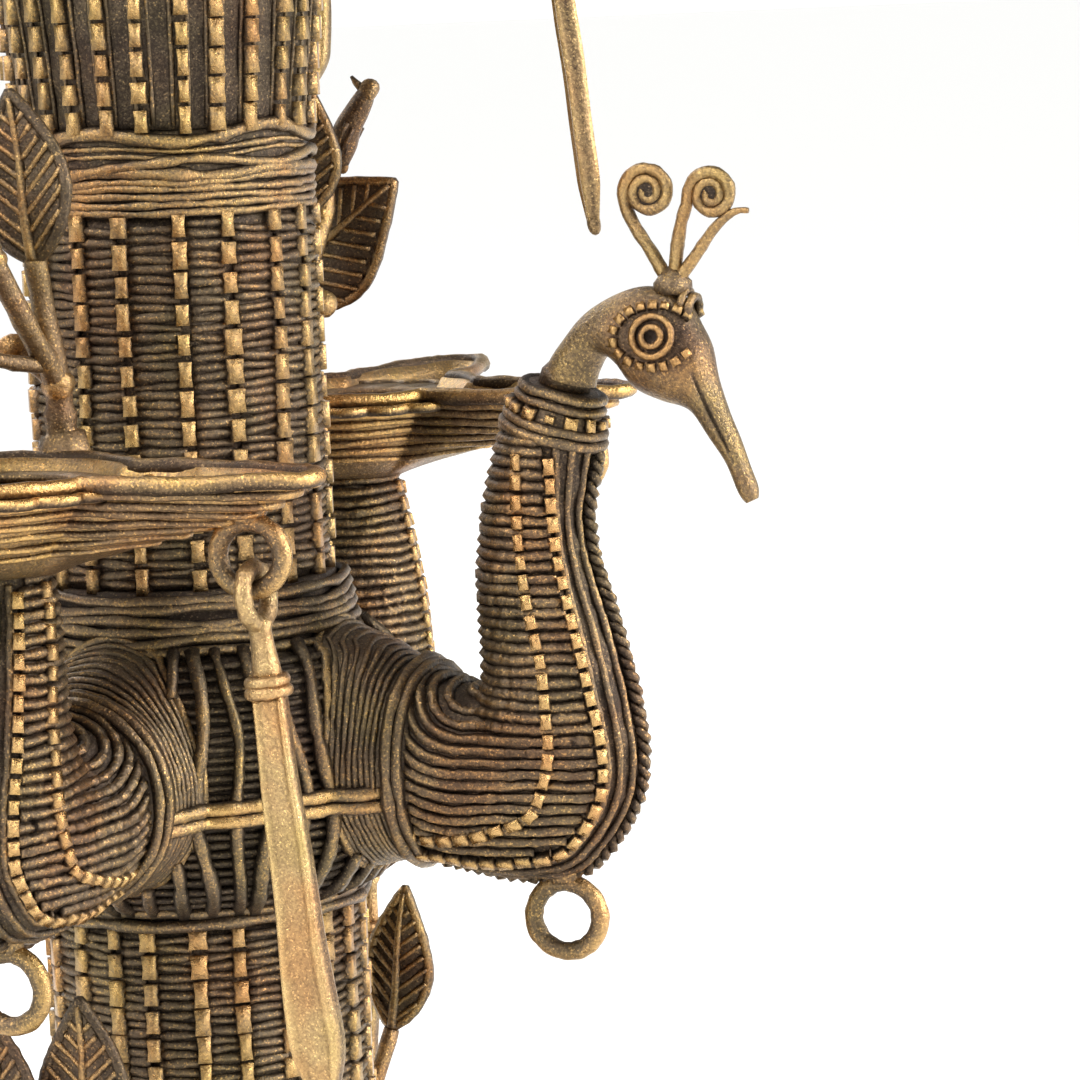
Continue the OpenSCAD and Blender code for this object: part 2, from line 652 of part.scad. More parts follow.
lamp_arm(lower_tier_z, 90);  // lower_rear_lamp_arm
lamp_arm(upper_tier_z, -90);  // upper_front_lamp_arm
lamp_arm(upper_tier_z, 90);  // upper_rear_lamp_arm
bowl(lower_tier_z, -90);  // lower_front_bowl
bowl(lower_tier_z, 90);  // lower_rear_bowl
bowl(upper_tier_z, -90);  // upper_front_bowl
bowl(upper_tier_z, 90);  // upper_rear_bowl
spout_eyelets(lower_tier_z, -1);  // lower_front_spout_eyelets
spout_eyelets(lower_tier_z, 1);  // lower_rear_spout_eyelets
spout_eyelets(upper_tier_z, -1);  // upper_front_spout_eyelets
spout_eyelets(upper_tier_z, 1);  // upper_rear_spout_eyelets
branch(lower_tier_z, 180);  // lower_front_branch
branch(lower_tier_z, 0);  // lower_rear_branch
branch(upper_tier_z, 180);  // upper_front_branch
branch(upper_tier_z, 0);  // upper_rear_branch
leaves(lower_tier_z, 180);  // lower_front_leaves
leaves(lower_tier_z, 0);  // lower_rear_leaves
leaves(upper_tier_z, 180);  // upper_front_leaves
leaves(upper_tier_z, 0);  // upper_rear_leaves
bird(lower_tier_z, 180);  // lower_front_bird
bird(lower_tier_z, 0);  // lower_rear_bird
bird(upper_tier_z, 180);  // upper_front_bird
bird(upper_tier_z, 0);  // upper_rear_bird
trunk_branch(180);  // trunk_front_branch
trunk_branch(0);  // trunk_rear_branch
trunk_leaves(180);  // trunk_front_leaves
trunk_leaves(0);  // trunk_rear_leaves
front_spout_pendant();
rear_spout_pendant();
rear_chest_pendant();
right_peacock_pendant();
left_peacock_pendant();
upper_rear_pendant();
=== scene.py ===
"""Looks of a standing oil lamp, cast in brass over wax threads, around its fixed frame."""
import math

import bpy
import numpy as np
from mathutils import Matrix, Vector


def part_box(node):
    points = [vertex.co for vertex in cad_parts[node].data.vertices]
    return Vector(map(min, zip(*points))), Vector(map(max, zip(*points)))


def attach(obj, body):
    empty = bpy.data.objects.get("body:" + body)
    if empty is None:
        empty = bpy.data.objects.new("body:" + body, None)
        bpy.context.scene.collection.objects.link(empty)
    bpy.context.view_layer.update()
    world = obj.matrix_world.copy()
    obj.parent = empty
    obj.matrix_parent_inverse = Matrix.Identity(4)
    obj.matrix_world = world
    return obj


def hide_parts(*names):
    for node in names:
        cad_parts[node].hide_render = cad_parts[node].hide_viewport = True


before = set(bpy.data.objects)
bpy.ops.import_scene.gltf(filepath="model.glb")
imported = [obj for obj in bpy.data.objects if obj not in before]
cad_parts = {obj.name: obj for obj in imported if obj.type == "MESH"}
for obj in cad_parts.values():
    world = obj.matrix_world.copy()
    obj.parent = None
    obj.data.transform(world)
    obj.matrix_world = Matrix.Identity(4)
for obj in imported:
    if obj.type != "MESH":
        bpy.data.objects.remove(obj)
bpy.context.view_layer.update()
MM = 0.001

bl_info = {
    "name": "Thread-cast oil lamp",
    "version": (1, 0, 0),
    "blender": (4, 5, 0),
    "location": "View3D > Sidebar > Oil Lamp",
    "description": "Builds the thread-wound surfaces, ornaments and studio of a standing oil lamp",
    "category": "Add Mesh",
}

SPIGOT = 5.0  # length of the spigot under each trunk section, mm
BELLY_TOP = 26.6  # belly's top above its waist strip, mm
BELLY_LOW = -16.3  # belly's lower edge from its waist strip, mm
BORE = 13.0  # bore of the trunk, mm
ROD_HOLE = 4.3  # radius of the tie rod's hole, mm
WAIST = {tier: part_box(f"{tier}_belly")[1].z / MM - BELLY_TOP for tier in ("lower", "upper")}
TURNS = {"right": 0, "rear": 90, "left": 180, "front": -90}


# ---- small helpers ----

def linear(hex_colour):
    """An sRGB colour such as #a8864e as linear red, green, blue and alpha."""
    values = [int(hex_colour[i:i + 2], 16) / 255 for i in (1, 3, 5)]
    return [v / 12.92 if v <= 0.04045 else ((v + 0.055) / 1.055) ** 2.4 for v in values] + [1.0]


def add(tree, kind, inputs=None, **settings):
    """Adds a node, sets its properties, and sets or links its inputs by name or number."""
    node = tree.nodes.new(kind)
    for key, value in settings.items():
        setattr(node, key, value)
    for key, value in (inputs or {}).items():
        if isinstance(value, bpy.types.NodeSocket):
            tree.links.new(value, node.inputs[key])
        else:
            node.inputs[key].default_value = value
    return node


def wobble(points, length, seed):
    """Smooth noise of about -1 to 1 at points (..., 3), whose bumps are about length across."""
    rng = np.random.default_rng(int(seed) % 100000)
    total = np.zeros(points.shape[:-1])
    for _ in range(7):
        direction = rng.normal(size=3)
        direction *= math.pi / (length * np.linalg.norm(direction)) * rng.uniform(0.6, 1.5)
        total += np.sin(points @ direction + rng.uniform(0, 2 * math.pi))
    return total / 2.6


def unit(vectors):
    """The vectors at length 1."""
    return vectors / np.maximum(np.linalg.norm(vectors, axis=-1, keepdims=True), 1e-9)


def ring(angles, radius, z):
    """Points at angles (radians), radius and height, which may be numbers or arrays."""
    angles, radius, z = np.broadcast_arrays(angles, radius, z)
    return np.stack([radius * np.cos(angles), radius * np.sin(angles), z], axis=-1)


def placed(points, turn=0.0, shift=(0, 0, 0)):
    """Points turned about Z by turn degrees, then shifted."""
    c, s = math.cos(math.radians(turn)), math.sin(math.radians(turn))
    return points @ np.array([[c, s, 0], [-s, c, 0], [0, 0, 1]]) + np.array(shift, float)


def curve_through(points, count):
    """A smooth curve of count points through the given rows (Catmull-Rom)."""
    rows = np.array(points, float)
    last = len(rows) - 1
    t = np.linspace(0, last, count)
    i = np.minimum(t.astype(int), last - 1)
    u = (t - i)[:, None]
    p0, p1, p2, p3 = (rows[np.clip(i + k, 0, last)] for k in (-1, 0, 1, 2))
    return 0.5 * (2 * p1 + (p2 - p0) * u + (2 * p0 - 5 * p1 + 4 * p2 - p3) * u ** 2
                  + (3 * p1 - p0 - 3 * p2 + p3) * u ** 3)


# ---- shells: closed bodies as (points, corners, face sizes, wear level, a painted lit side on some threads) ----

def grid_shell(points, wear=0.0, loop=False):
    """A closed shell from a grid (m, n, 3) that closes round n, and round m if loop, else is capped."""
    m, n = points.shape[:2]
    number = np.arange(m * n).reshape(m, n)
    rows = number if loop else number[:-1]
    nexts = np.roll(number, -1, axis=0) if loop else number[1:]
    quads = np.stack([rows, np.roll(rows, -1, axis=1), np.roll(nexts, -1, axis=1), nexts],
                     axis=-1).reshape(-1, 4)
    flat = points.reshape(-1, 3)
    a, b, c, d = (flat[quads[:, k]] - flat.mean(0) for k in range(4))
    volume = np.einsum("ij,ij->", a, np.cross(b, c)) + np.einsum("ij,ij->", a, np.cross(c, d))
    caps = [] if loop else [number[0][::-1], number[-1]]
    for cap in caps:
        corner = flat[cap] - flat.mean(0)
        volume += sum(np.dot(corner[0], np.cross(corner[k], corner[k + 1])) for k in range(1, n - 1))
    if volume < 0:
        quads = quads[:, ::-1]
        caps = [cap[::-1] for cap in caps]
    corners = np.concatenate([quads.ravel(), *caps]).astype(np.int32)
    sizes = np.array([4] * len(quads) + [n] * len(caps), np.int32)
    return flat, corners, sizes, np.broadcast_to(np.asarray(wear, float), (m, n)).ravel()


def turned(profile, sides, rough=0.0, size=4.0, seed=0, wear=0.0, z=0.0):
    """A closed outline (radius, height) spun round Z, with rough noise on it."""
    outline = np.array(profile, float)
    angles = np.linspace(0, 2 * math.pi, sides, endpoint=False)
    points = ring(angles[None], outline[:, :1], outline[:, 1:] + z)
    if rough:
        points[..., :2] *= 1 + (rough * wobble(points, size, seed) / 20)[..., None]
    return grid_shell(points, wear, loop=True)


def subdivided(rows, spacing):
    """The outline's corners with points added so that no step is longer than spacing."""
    result = []
    for a, b in zip(rows, rows[1:] + rows[:1]):
        count = max(1, int(math.dist(a, b) / spacing + 0.99))
        result += [[a[k] + (b[k] - a[k]) * i / count for k in (0, 1)] for i in range(count)]
    return result


def moved(shells, turn=0.0, shift=(0, 0, 0)):
    """Shells turned about Z by turn degrees, then shifted."""
    return [(placed(s[0], turn, shift), *s[1:]) for s in shells]


def build(name, shells, body, material, slot, *nodes):
    """Makes one piece from shells, which rides on body and stands for the CAD nodes."""
    offset, corners = 0, []
    for shell in shells:
        corners.append(shell[1] + offset)
        offset += len(shell[0])
    points = np.concatenate([s[0] for s in shells])
    corners, sizes = np.concatenate(corners), np.concatenate([s[2] for s in shells])
    mesh = bpy.data.meshes.new(name)
    mesh.vertices.add(len(points))
    mesh.vertices.foreach_set("co", (points * MM).astype(np.float32).ravel())
    mesh.loops.add(len(corners))
    mesh.loops.foreach_set("vertex_index", corners.astype(np.int32))
    mesh.polygons.add(len(sizes))
    mesh.polygons.foreach_set("loop_start", (np.cumsum(sizes) - sizes).astype(np.int32))
    mesh.update(calc_edges=True)
    mesh.polygons.foreach_set("use_smooth", np.ones(len(sizes), bool))
    wear = np.concatenate([s[3] for s in shells]).astype(np.float32)
    mesh.attributes.new("wear", "FLOAT", "POINT").data.foreach_set("value", wear)
    mesh.validate()
    piece = bpy.data.objects.new(name, mesh)
    bpy.context.scene.collection.objects.link(piece)
    mesh.materials.append(material)
    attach(piece, body)
    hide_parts(*nodes)
    return piece


# ---- guides: lines as (points, edges, outward directions, sizes) that threads and beads grow on ----

def line(points, out, size, closed=False):
    """One guide through the points, as (points, edges, outward directions, sizes)."""
    points = np.asarray(points, float)
    count = len(points)
    edges = np.stack([np.arange(count - 1), np.arange(1, count)], axis=1)
    if closed:
        edges = np.concatenate([edges, [[count - 1, 0]]])
    return points, edges, np.broadcast_to(unit(np.asarray(out, float)),
                                          points.shape), np.broadcast_to(size, (count,))


def hoop(radius, z, size, count=72, seed=None, wander=0.25):
    """A wire round the axis. With a seed it wanders up and down a little."""
    angles = np.linspace(0, 2 * math.pi, count, endpoint=False)
    points = ring(angles, radius, z)
    if seed is not None:
        points[:, 2] += wander * wobble(points, 9, seed)
    return line(points, ring(angles, 1, 0), size, closed=True)


def gathered(lines):
    """Several guides as one."""
    offset, edges = 0, []
    for one in lines:
        edges.append(one[1] + offset)
        offset += len(one[0])
    return (np.concatenate([one[0] for one in lines]), np.concatenate(edges),
            np.concatenate([one[2] for one in lines]), np.concatenate([one[3] for one in lines]))


def contours(points, out, value, levels, keep, size):
    """Lines of equal value on a grid (m, n) that closes round n, where keep holds."""
    m, n = value.shape
    lines = []
    flat, flat_out = points.reshape(-1, 3), out.reshape(-1, 3)
    number = np.arange(m * n).reshape(m, n)
    wrap = lambda a: np.roll(a, -1, axis=1)
    cells = keep[:-1] & keep[1:] & wrap(keep)[:-1] & wrap(keep)[1:]
    for level in levels:
        above = value > level
        down = np.full((m, n), -1)
        across = np.full((m, n), -1)
        crossing = above[:-1] != above[1:]
        down[:-1][crossing] = np.arange(crossing.sum())
        sideways = above != wrap(above)
        across[sideways] = crossing.sum() + np.arange(sideways.sum())
        if not crossing.sum() + sideways.sum():
            continue
        first = np.concatenate([number[:-1][crossing], number[sideways]])
        second = np.concatenate([number[1:][crossing], wrap(number)[sideways]])
        v1, v2 = value.ravel()[first], value.ravel()[second]
        share = ((level - v1) / (v2 - v1))[:, None]
        spots = flat[first] * (1 - share) + flat[second] * share
        outs = unit(flat_out[first] * (1 - share) + flat_out[second] * share)
        around = np.stack([down[:-1], across[1:], wrap(down)[:-1], across[:-1]], axis=-1)[cells]
        around = around[(around >= 0).sum(1) == 2]
        if not len(around):
            continue
        edges = np.sort(around, axis=1)[:, 2:]
        used, renamed = np.unique(edges, return_inverse=True)
        lines.append((spots[used], renamed.reshape(-1, 2), outs[used], np.full(len(used), float(size))))
    return lines


# ---- node trees that grow threads and beads on guides ----

def tree_with(name, sizes):
    """An empty geometry node tree with a geometry input, named float inputs and a material input."""
    tree = bpy.data.node_groups.new(name, "GeometryNodeTree")
    tree.interface.new_socket("Geometry", in_out="INPUT", socket_type="NodeSocketGeometry")
    for size_name, default in sizes.items():
        socket = tree.interface.new_socket(size_name, in_out="INPUT", socket_type="NodeSocketFloat")
        socket.default_value = default
    tree.interface.new_socket("Material", in_out="INPUT", socket_type="NodeSocketMaterial")
    tree.interface.new_socket("Geometry", in_out="OUTPUT", socket_type="NodeSocketGeometry")
    return tree, add(tree, "NodeGroupInput")


def finish_tree(tree, geometry, entry):
    """Ends a tree: smooth, realized and with its material set."""
    smooth = add(tree, "GeometryNodeSetShadeSmooth", {"Geometry": geometry})
    real = add(tree, "GeometryNodeRealizeInstances", {"Geometry": smooth.outputs[0]})
    coated = add(tree, "GeometryNodeSetMaterial",
                 {"Geometry": real.outputs[0], "Material": entry.outputs["Material"]})
    add(tree, "NodeGroupOutput", {"Geometry": coated.outputs[0]})
    return tree


def read(tree, name, data_type):
    """The output that reads a named attribute."""
    return add(tree, "GeometryNodeInputNamedAttribute", {"Name": name},
               data_type=data_type).outputs["Attribute"]


def thread_tree():
    """Wax threads: every guide line becomes a slightly uneven wire, lighter on the side that its out
    direction points to: rubbed where out points away from the surface below, a painted lit side where out is
    one fixed direction.
    """
    tree, entry = tree_with("Wax threads",
                            {"Sides": 6.0, "Unevenness": 0.16, "Wander": 0.00012, "Rubbed": 0.6,
                             "Least": 0.0, "Seed": 3.0})
    out = read(tree, "out", "FLOAT_VECTOR")
    guide = add(tree, "GeometryNodeMeshToCurve", {"Mesh": entry.outputs["Geometry"]})
    drift = add(tree, "ShaderNodeTexNoise", {"W": entry.outputs["Seed"], "Scale": 260.0, "Detail": 1.0},
                noise_dimensions="4D")
    centred = add(tree, "ShaderNodeVectorMath", {0: drift.outputs["Color"], 1: (0.5, 0.5, 0.5)},
                  operation="SUBTRACT")
    shift = add(tree, "ShaderNodeVectorMath", {0: centred.outputs[0], "Scale": entry.outputs["Wander"]},
                operation="SCALE")
    wide = add(tree, "ShaderNodeVectorMath", {0: shift.outputs[0], "Scale": 4.0}, operation="SCALE")
    wandered = add(tree, "GeometryNodeSetPosition",
                   {"Geometry": guide.outputs[0], "Offset": wide.outputs[0]})
    lumps = add(tree, "ShaderNodeTexNoise", {"W": entry.outputs["Seed"], "Scale": 900.0, "Detail": 1.0},
                noise_dimensions="4D")
    uneven = add(tree, "ShaderNodeMath", {0: lumps.outputs["Fac"], 1: 0.5}, operation="SUBTRACT")
    factor = add(tree, "ShaderNodeMath", {0: uneven.outputs[0], 1: entry.outputs["Unevenness"]},
                 operation="MULTIPLY")
    scale = add(tree, "ShaderNodeMath", {0: factor.outputs[0], 1: 4.0, 2: 1.0}, operation="MULTIPLY_ADD")
    radius = add(tree, "ShaderNodeMath", {0: read(tree, "size", "FLOAT"), 1: scale.outputs[0]},
                 operation="MULTIPLY")
    circle = add(tree, "GeometryNodeCurvePrimitiveCircle",
                 {"Resolution": entry.outputs["Sides"], "Radius": 1.0})
    wire = add(tree, "GeometryNodeCurveToMesh",
               {"Curve": wandered.outputs[0], "Profile Curve": circle.outputs[0],
                "Scale": radius.outputs[0], "Fill Caps": True})
    normal = add(tree, "GeometryNodeInputNormal")
    # Level by how much each side faces out: a rubbed crest where out points away from a surface, a painted
    # lit side where a guide's out is one fixed direction.
    facing = add(tree, "ShaderNodeVectorMath", {0: normal.outputs[0], 1: out}, operation="DOT_PRODUCT")
    wear = add(tree, "ShaderNodeMapRange",
               {"Value": facing.outputs["Value"], "From Min": -0.1, "From Max": 1.0,
                "To Min": entry.outputs["Least"], "To Max": entry.outputs["Rubbed"]})
    worn_and_lit = add(tree, "GeometryNodeStoreNamedAttribute",
               {"Geometry": wire.outputs[0], "Name": "wear", "Value": wear.outputs[0]}, data_type="FLOAT",
               domain="POINT")
    return finish_tree(tree, worn_and_lit.outputs[0], entry)


def bead_tree():
    """Strips of small square pads along every guide line, bright on top."""
    tree, entry = tree_with("Bead strips",
                            {"Pitch": 0.003, "Length": 0.0022, "Height": 0.0012, "Jitter": 0.12,
                             "Rubbed": 0.95, "Seed": 5.0})
    guide = add(tree, "GeometryNodeMeshToCurve", {"Mesh": entry.outputs["Geometry"]})
    spaced = add(tree, "GeometryNodeResampleCurve",
                 {"Curve": guide.outputs[0], "Length": entry.outputs["Pitch"]}, mode="LENGTH")
    cube = add(tree, "GeometryNodeMeshCube",
               {"Size": (1.0, 1.0, 1.0), "Vertices X": 3, "Vertices Y": 3, "Vertices Z": 2})
    place = add(tree, "GeometryNodeInputPosition")
    parts = add(tree, "ShaderNodeSeparateXYZ", {0: place.outputs[0]})
    top = add(tree, "ShaderNodeMath", {0: parts.outputs["Z"], 1: 0.0}, operation="GREATER_THAN")
    drawn_in = add(tree, "ShaderNodeVectorMath", {0: place.outputs[0], 1: (0.9, 0.84, 1.0)},
                   operation="MULTIPLY")
    tapered = add(tree, "GeometryNodeSetPosition",
                  {"Geometry": cube.outputs[0], "Selection": top.outputs[0],
                   "Position": drawn_in.outputs[0]})
    off_middle = add(tree, "ShaderNodeMath", {0: parts.outputs["X"]}, operation="ABSOLUTE")
    waist = add(tree, "ShaderNodeMath", {0: off_middle.outputs[0], 1: 0.36, 2: 0.82},
                operation="MULTIPLY_ADD")
    pinch = add(tree, "ShaderNodeCombineXYZ", {"X": 1.0, "Y": waist.outputs[0], "Z": 1.0})
    pinched = add(tree, "ShaderNodeVectorMath", {0: place.outputs[0], 1: pinch.outputs[0]},
                  operation="MULTIPLY")
    pad = add(tree, "GeometryNodeSetPosition",
              {"Geometry": tapered.outputs[0], "Position": pinched.outputs[0]})
    rub = add(tree, "ShaderNodeMath", {0: top.outputs[0], 1: entry.outputs["Rubbed"]}, operation="MULTIPLY")
    worn_and_lit = add(tree, "GeometryNodeStoreNamedAttribute",
               {"Geometry": pad.outputs[0], "Name": "wear", "Value": rub.outputs[0]}, data_type="FLOAT",
               domain="POINT")
    upright = add(tree, "FunctionNodeAlignRotationToVector", {"Vector": read(tree, "out", "FLOAT_VECTOR")},
                  axis="Z")
    tangent = add(tree, "GeometryNodeInputTangent")
    along = add(tree, "FunctionNodeAlignRotationToVector",
                {"Rotation": upright.outputs[0], "Vector": tangent.outputs[0]}, axis="X", pivot_axis="Z")
    low = add(tree, "ShaderNodeMath", {0: 1.0, 1: entry.outputs["Jitter"]}, operation="SUBTRACT")
    high = add(tree, "ShaderNodeMath", {0: 1.0, 1: entry.outputs["Jitter"]}, operation="ADD")
    random = []
    for shift in (0.0, 11.0, 23.0):
        seed = add(tree, "ShaderNodeMath", {0: entry.outputs["Seed"], 1: shift}, operation="ADD")
        random.append(add(tree, "FunctionNodeRandomValue",
                          {2: low.outputs[0], 3: high.outputs[0], "Seed": seed.outputs[0]},
                          data_type="FLOAT").outputs[1])
    length = add(tree, "ShaderNodeMath", {0: entry.outputs["Length"], 1: random[0]}, operation="MULTIPLY")
    width = add(tree, "ShaderNodeMath", {0: read(tree, "size", "FLOAT"), 1: random[1]},
                operation="MULTIPLY")
    height = add(tree, "ShaderNodeMath", {0: entry.outputs["Height"], 1: random[2]}, operation="MULTIPLY")
    scale = add(tree, "ShaderNodeCombineXYZ",
                {"X": length.outputs[0], "Y": width.outputs[0], "Z": height.outputs[0]})
    pads = add(tree, "GeometryNodeInstanceOnPoints",
               {"Points": spaced.outputs[0], "Instance": worn_and_lit.outputs[0], "Rotation": along.outputs[0],
                "Scale": scale.outputs[0]})
    return finish_tree(tree, pads.outputs[0], entry)


def grow(tree_name, lines, material, **sizes):
    """Runs a tree on guide lines and gives back its result as one shell."""
    points, edges, out, size = gathered(lines)
    guide = bpy.data.meshes.new("guide")
    guide.from_pydata((points * MM).tolist(), edges.tolist(), [])
    guide.attributes.new("out", "FLOAT_VECTOR",
                         "POINT").data.foreach_set("vector", np.ascontiguousarray(out, np.float32).ravel())
    guide.attributes.new("size", "FLOAT", "POINT").data.foreach_set("value", (size * MM).astype(np.float32))
    holder = bpy.data.objects.new("guide", guide)
    bpy.context.scene.collection.objects.link(holder)
    modifier = holder.modifiers.new("grow", "NODES")
    modifier.node_group = bpy.data.node_groups[tree_name]
    for item in modifier.node_group.interface.items_tree:
        if item.in_out == "INPUT" and item.name in sizes:
            modifier[item.identifier] = float(sizes[item.name])
        elif item.in_out == "INPUT" and item.name == "Material":
            modifier[item.identifier] = material
    evaluated = holder.evaluated_get(bpy.context.evaluated_depsgraph_get())
    mesh = bpy.data.meshes.new_from_object(evaluated)
    co = np.zeros(len(mesh.vertices) * 3, np.float32)
    mesh.vertices.foreach_get("co", co)
    corners = np.zeros(len(mesh.loops), np.int32)
    mesh.loops.foreach_get("vertex_index", corners)
    face_sizes = np.zeros(len(mesh.polygons), np.int32)
    mesh.polygons.foreach_get("loop_total", face_sizes)
    wear = np.zeros(len(mesh.vertices), np.float32)
    mesh.attributes["wear"].data.foreach_get("value", wear)
    holder.modifiers.clear()
    bpy.data.objects.remove(holder)
    bpy.data.meshes.remove(guide)
    bpy.data.meshes.remove(mesh)
    if not len(co):
        raise RuntimeError(f"{tree_name} grew nothing")
    return co.reshape(-1, 3).astype(float) / MM, corners, face_sizes, wear.astype(float)


def threads(lines, material, sides=6, seed=3, facing_level=0.6, **more):
    """Wax threads on guide lines, as one shell."""
    return grow("Wax threads", lines, material, Sides=sides, Seed=seed, Rubbed=facing_level, **more)


def beads(lines, material, pitch, length, height, seed=5, jitter=0.12, facing_level=0.95):
    """Bead strips on guide lines, as one shell, with sizes in mm."""
    return grow("Bead strips", lines, material, Pitch=pitch * MM, Length=length * MM, Height=height * MM,
                Jitter=jitter, Seed=seed, Rubbed=facing_level)


# ---- materials ----

# Pattern scales per metre. The painted glint spots are drawn coarser than real ones, so that they show.
GRAIN = 2600.0  # sand grain, 0.4 mm
GLINT_SPECKS = 5200.0  # painted glint spots, 0.2 mm
PITS = 800.0  # pits in the casting, 1.2 mm
CLOUDS = 170.0  # clouds in the patina, 6 mm
PATCHES = 75.0  # patches of greener and redder patina, 13 mm
LATHE = 2500.0  # turning marks along a rod, 0.4 mm


def brass(name, recess, body, crest, rough=(0.52, 0.25), lift=0.0, mottle=0.55):
    """Cast brass with dark patina in its recesses, rubbed crests, and a painted lit side on threads whose
    out direction is fixed.

    Sand casting leaves a fine grain, drawn as bump and as colour, and a few spots that are painted glints:
    lighter in colour, and also smoother and more metallic.
    """
    material = bpy.data.materials.new(name)
    material.use_nodes = True
    tree = material.node_tree
    tree.nodes.clear()
    place = add(tree, "ShaderNodeTexCoord").outputs["Object"]
    wear = add(tree, "ShaderNodeAttribute", attribute_name="wear").outputs["Fac"]
    grain = add(tree, "ShaderNodeTexNoise",
                {"Vector": place, "Scale": GRAIN, "Detail": 3.0, "Roughness": 0.7}).outputs["Fac"]
    cloud = add(tree, "ShaderNodeTexNoise",
                {"Vector": place, "Scale": CLOUDS, "Detail": 4.0, "Roughness": 0.65}).outputs["Fac"]
    pits = add(tree, "ShaderNodeTexNoise", {"Vector": place, "Scale": PITS, "Detail": 2.0}).outputs["Fac"]
    # Painted glints: a few cells lift the colour toward the crest colour, and make it smoother and more
    # metallic.
    glint_cells = add(tree, "ShaderNodeTexVoronoi", {"Vector": place, "Scale": GLINT_SPECKS})
    chance = add(tree, "ShaderNodeSeparateColor", {"Color": glint_cells.outputs["Color"]}).outputs["Red"]
    painted_glint = add(tree, "ShaderNodeMapRange",
                 {"Value": chance, "From Min": 0.86, "From Max": 0.98, "To Max": 0.34}).outputs[0]
    spread = add(tree, "ShaderNodeMath", {0: cloud, 1: mottle, 2: lift - mottle / 2},
                 operation="MULTIPLY_ADD").outputs[0]
    sand = add(tree, "ShaderNodeMath", {0: grain, 1: 0.9, 2: -0.45}, operation="MULTIPLY_ADD").outputs[0]
    # The level mixes patina in recesses, rubbed crests, and on some threads a painted lit side.
    worn_and_lit = add(tree, "ShaderNodeMath", {0: wear, 1: spread}, operation="ADD").outputs[0]
    sandy = add(tree, "ShaderNodeMath", {0: worn_and_lit, 1: sand}, operation="ADD").outputs[0]
    level = add(tree, "ShaderNodeMath", {0: sandy, 1: painted_glint}, operation="ADD", use_clamp=True).outputs[0]
    ramp = add(tree, "ShaderNodeValToRGB", {"Fac": level})
    ramp.color_ramp.elements[0].position = 0.12
    ramp.color_ramp.elements[0].color = recess
    ramp.color_ramp.elements[1].position = 0.92
    ramp.color_ramp.elements[1].color = crest
    ramp.color_ramp.elements.new(0.5).color = body
    patch = add(tree, "ShaderNodeTexNoise",
                {"Vector": place, "Scale": PATCHES, "Detail": 3.0, "Roughness": 0.6}).outputs["Fac"]
    tint = add(tree, "ShaderNodeValToRGB", {"Fac": patch})
    tint.color_ramp.elements[0].position = 0.36
    tint.color_ramp.elements[0].color = linear("#f4f4e2")
    tint.color_ramp.elements[1].position = 0.66
    tint.color_ramp.elements[1].color = linear("#f6e2d8")
    tint.color_ramp.elements.new(0.5).color = linear("#fdfaf6")
    tinted = add(tree, "ShaderNodeMix", {0: 1.0, 6: ramp.outputs[0], 7: tint.outputs[0]}, data_type="RGBA",
                 blend_type="MULTIPLY")
    metal = add(tree, "ShaderNodeMapRange", {"Value": level, "To Min": 0.7, "To Max": 1.0}).outputs[0]
    roughness = add(tree, "ShaderNodeMapRange",
                    {"Value": level, "To Min": rough[0], "To Max": rough[1]}).outputs[0]
    fine = add(tree, "ShaderNodeBump", {"Height": grain, "Strength": 0.8, "Distance": 0.00022})
    coarse = add(tree, "ShaderNodeBump",
                 {"Height": pits, "Strength": 0.45, "Distance": 0.0003, "Normal": fine.outputs[0]})
    shader = add(tree, "ShaderNodeBsdfPrincipled",
                 {"Base Color": tinted.outputs[2], "Metallic": metal, "Roughness": roughness,
                  "Normal": coarse.outputs[0]})
    add(tree, "ShaderNodeOutputMaterial", {"Surface": shader.outputs[0]})
    return material


def turned_steel(name, grey):
    """Machined zinc-plated steel: an even grey with a fine lathe grain across the rod."""
    material = bpy.data.materials.new(name)
    material.use_nodes = True
    tree = material.node_tree
    tree.nodes.clear()
    place = add(tree, "ShaderNodeTexCoord").outputs["Object"]
    stretched = add(tree, "ShaderNodeMapping", {"Vector": place, "Scale": (0.2, 0.2, 1.0)}).outputs[0]
    grain = add(tree, "ShaderNodeTexNoise",
                {"Vector": stretched, "Scale": LATHE, "Detail": 2.0}).outputs["Fac"]
    roughness = add(tree, "ShaderNodeMapRange", {"Value": grain, "To Min": 0.3, "To Max": 0.5}).outputs[0]
    bump = add(tree, "ShaderNodeBump", {"Height": grain, "Strength": 0.3, "Distance": 0.00005})
    shader = add(tree, "ShaderNodeBsdfPrincipled",
                 {"Base Color": grey, "Metallic": 1.0, "Roughness": roughness, "Normal": bump.outputs[0]})
    add(tree, "ShaderNodeOutputMaterial", {"Surface": shader.outputs[0]})
    return material


def colour_property(name, description, hex_colour):
    """A colour property whose default is an sRGB hex value."""
    return bpy.props.FloatVectorProperty(name=name, description=description, subtype="COLOR", size=4,
                                         default=linear(hex_colour), min=0.0, max=1.0)


def length_property(name, description, default, low, high):
    """A length property in metres, from sizes in millimetres."""
    return bpy.props.FloatProperty(name=name, description=description, unit="LENGTH", precision=5,
                                   default=default * MM, min=low * MM, max=high * MM)


class FinishColours(bpy.types.PropertyGroup):
    """Colours of the castings and the floor."""
    recess: colour_property("Recess", "Patina between the threads", "#372e26")
    body: colour_property("Body", "Brass on the sides of the threads", "#6b5d4b")
    # The crest colour also shows on the painted lit side of threads whose out direction is fixed, and on the
    # painted glint spots.
    crest: colour_property("Crest", "Rubbed brass on top of the threads", "#c09d68")
    bowl: colour_property("Bowl body", "Browner brass of the bowls and branches", "#806a50")
    pendant: colour_property("Pendant body", "Cleaner brass of the hanging bars", "#98805c")
    floor: colour_property("Floor", "Pale studio floor", "#f4f4f2")


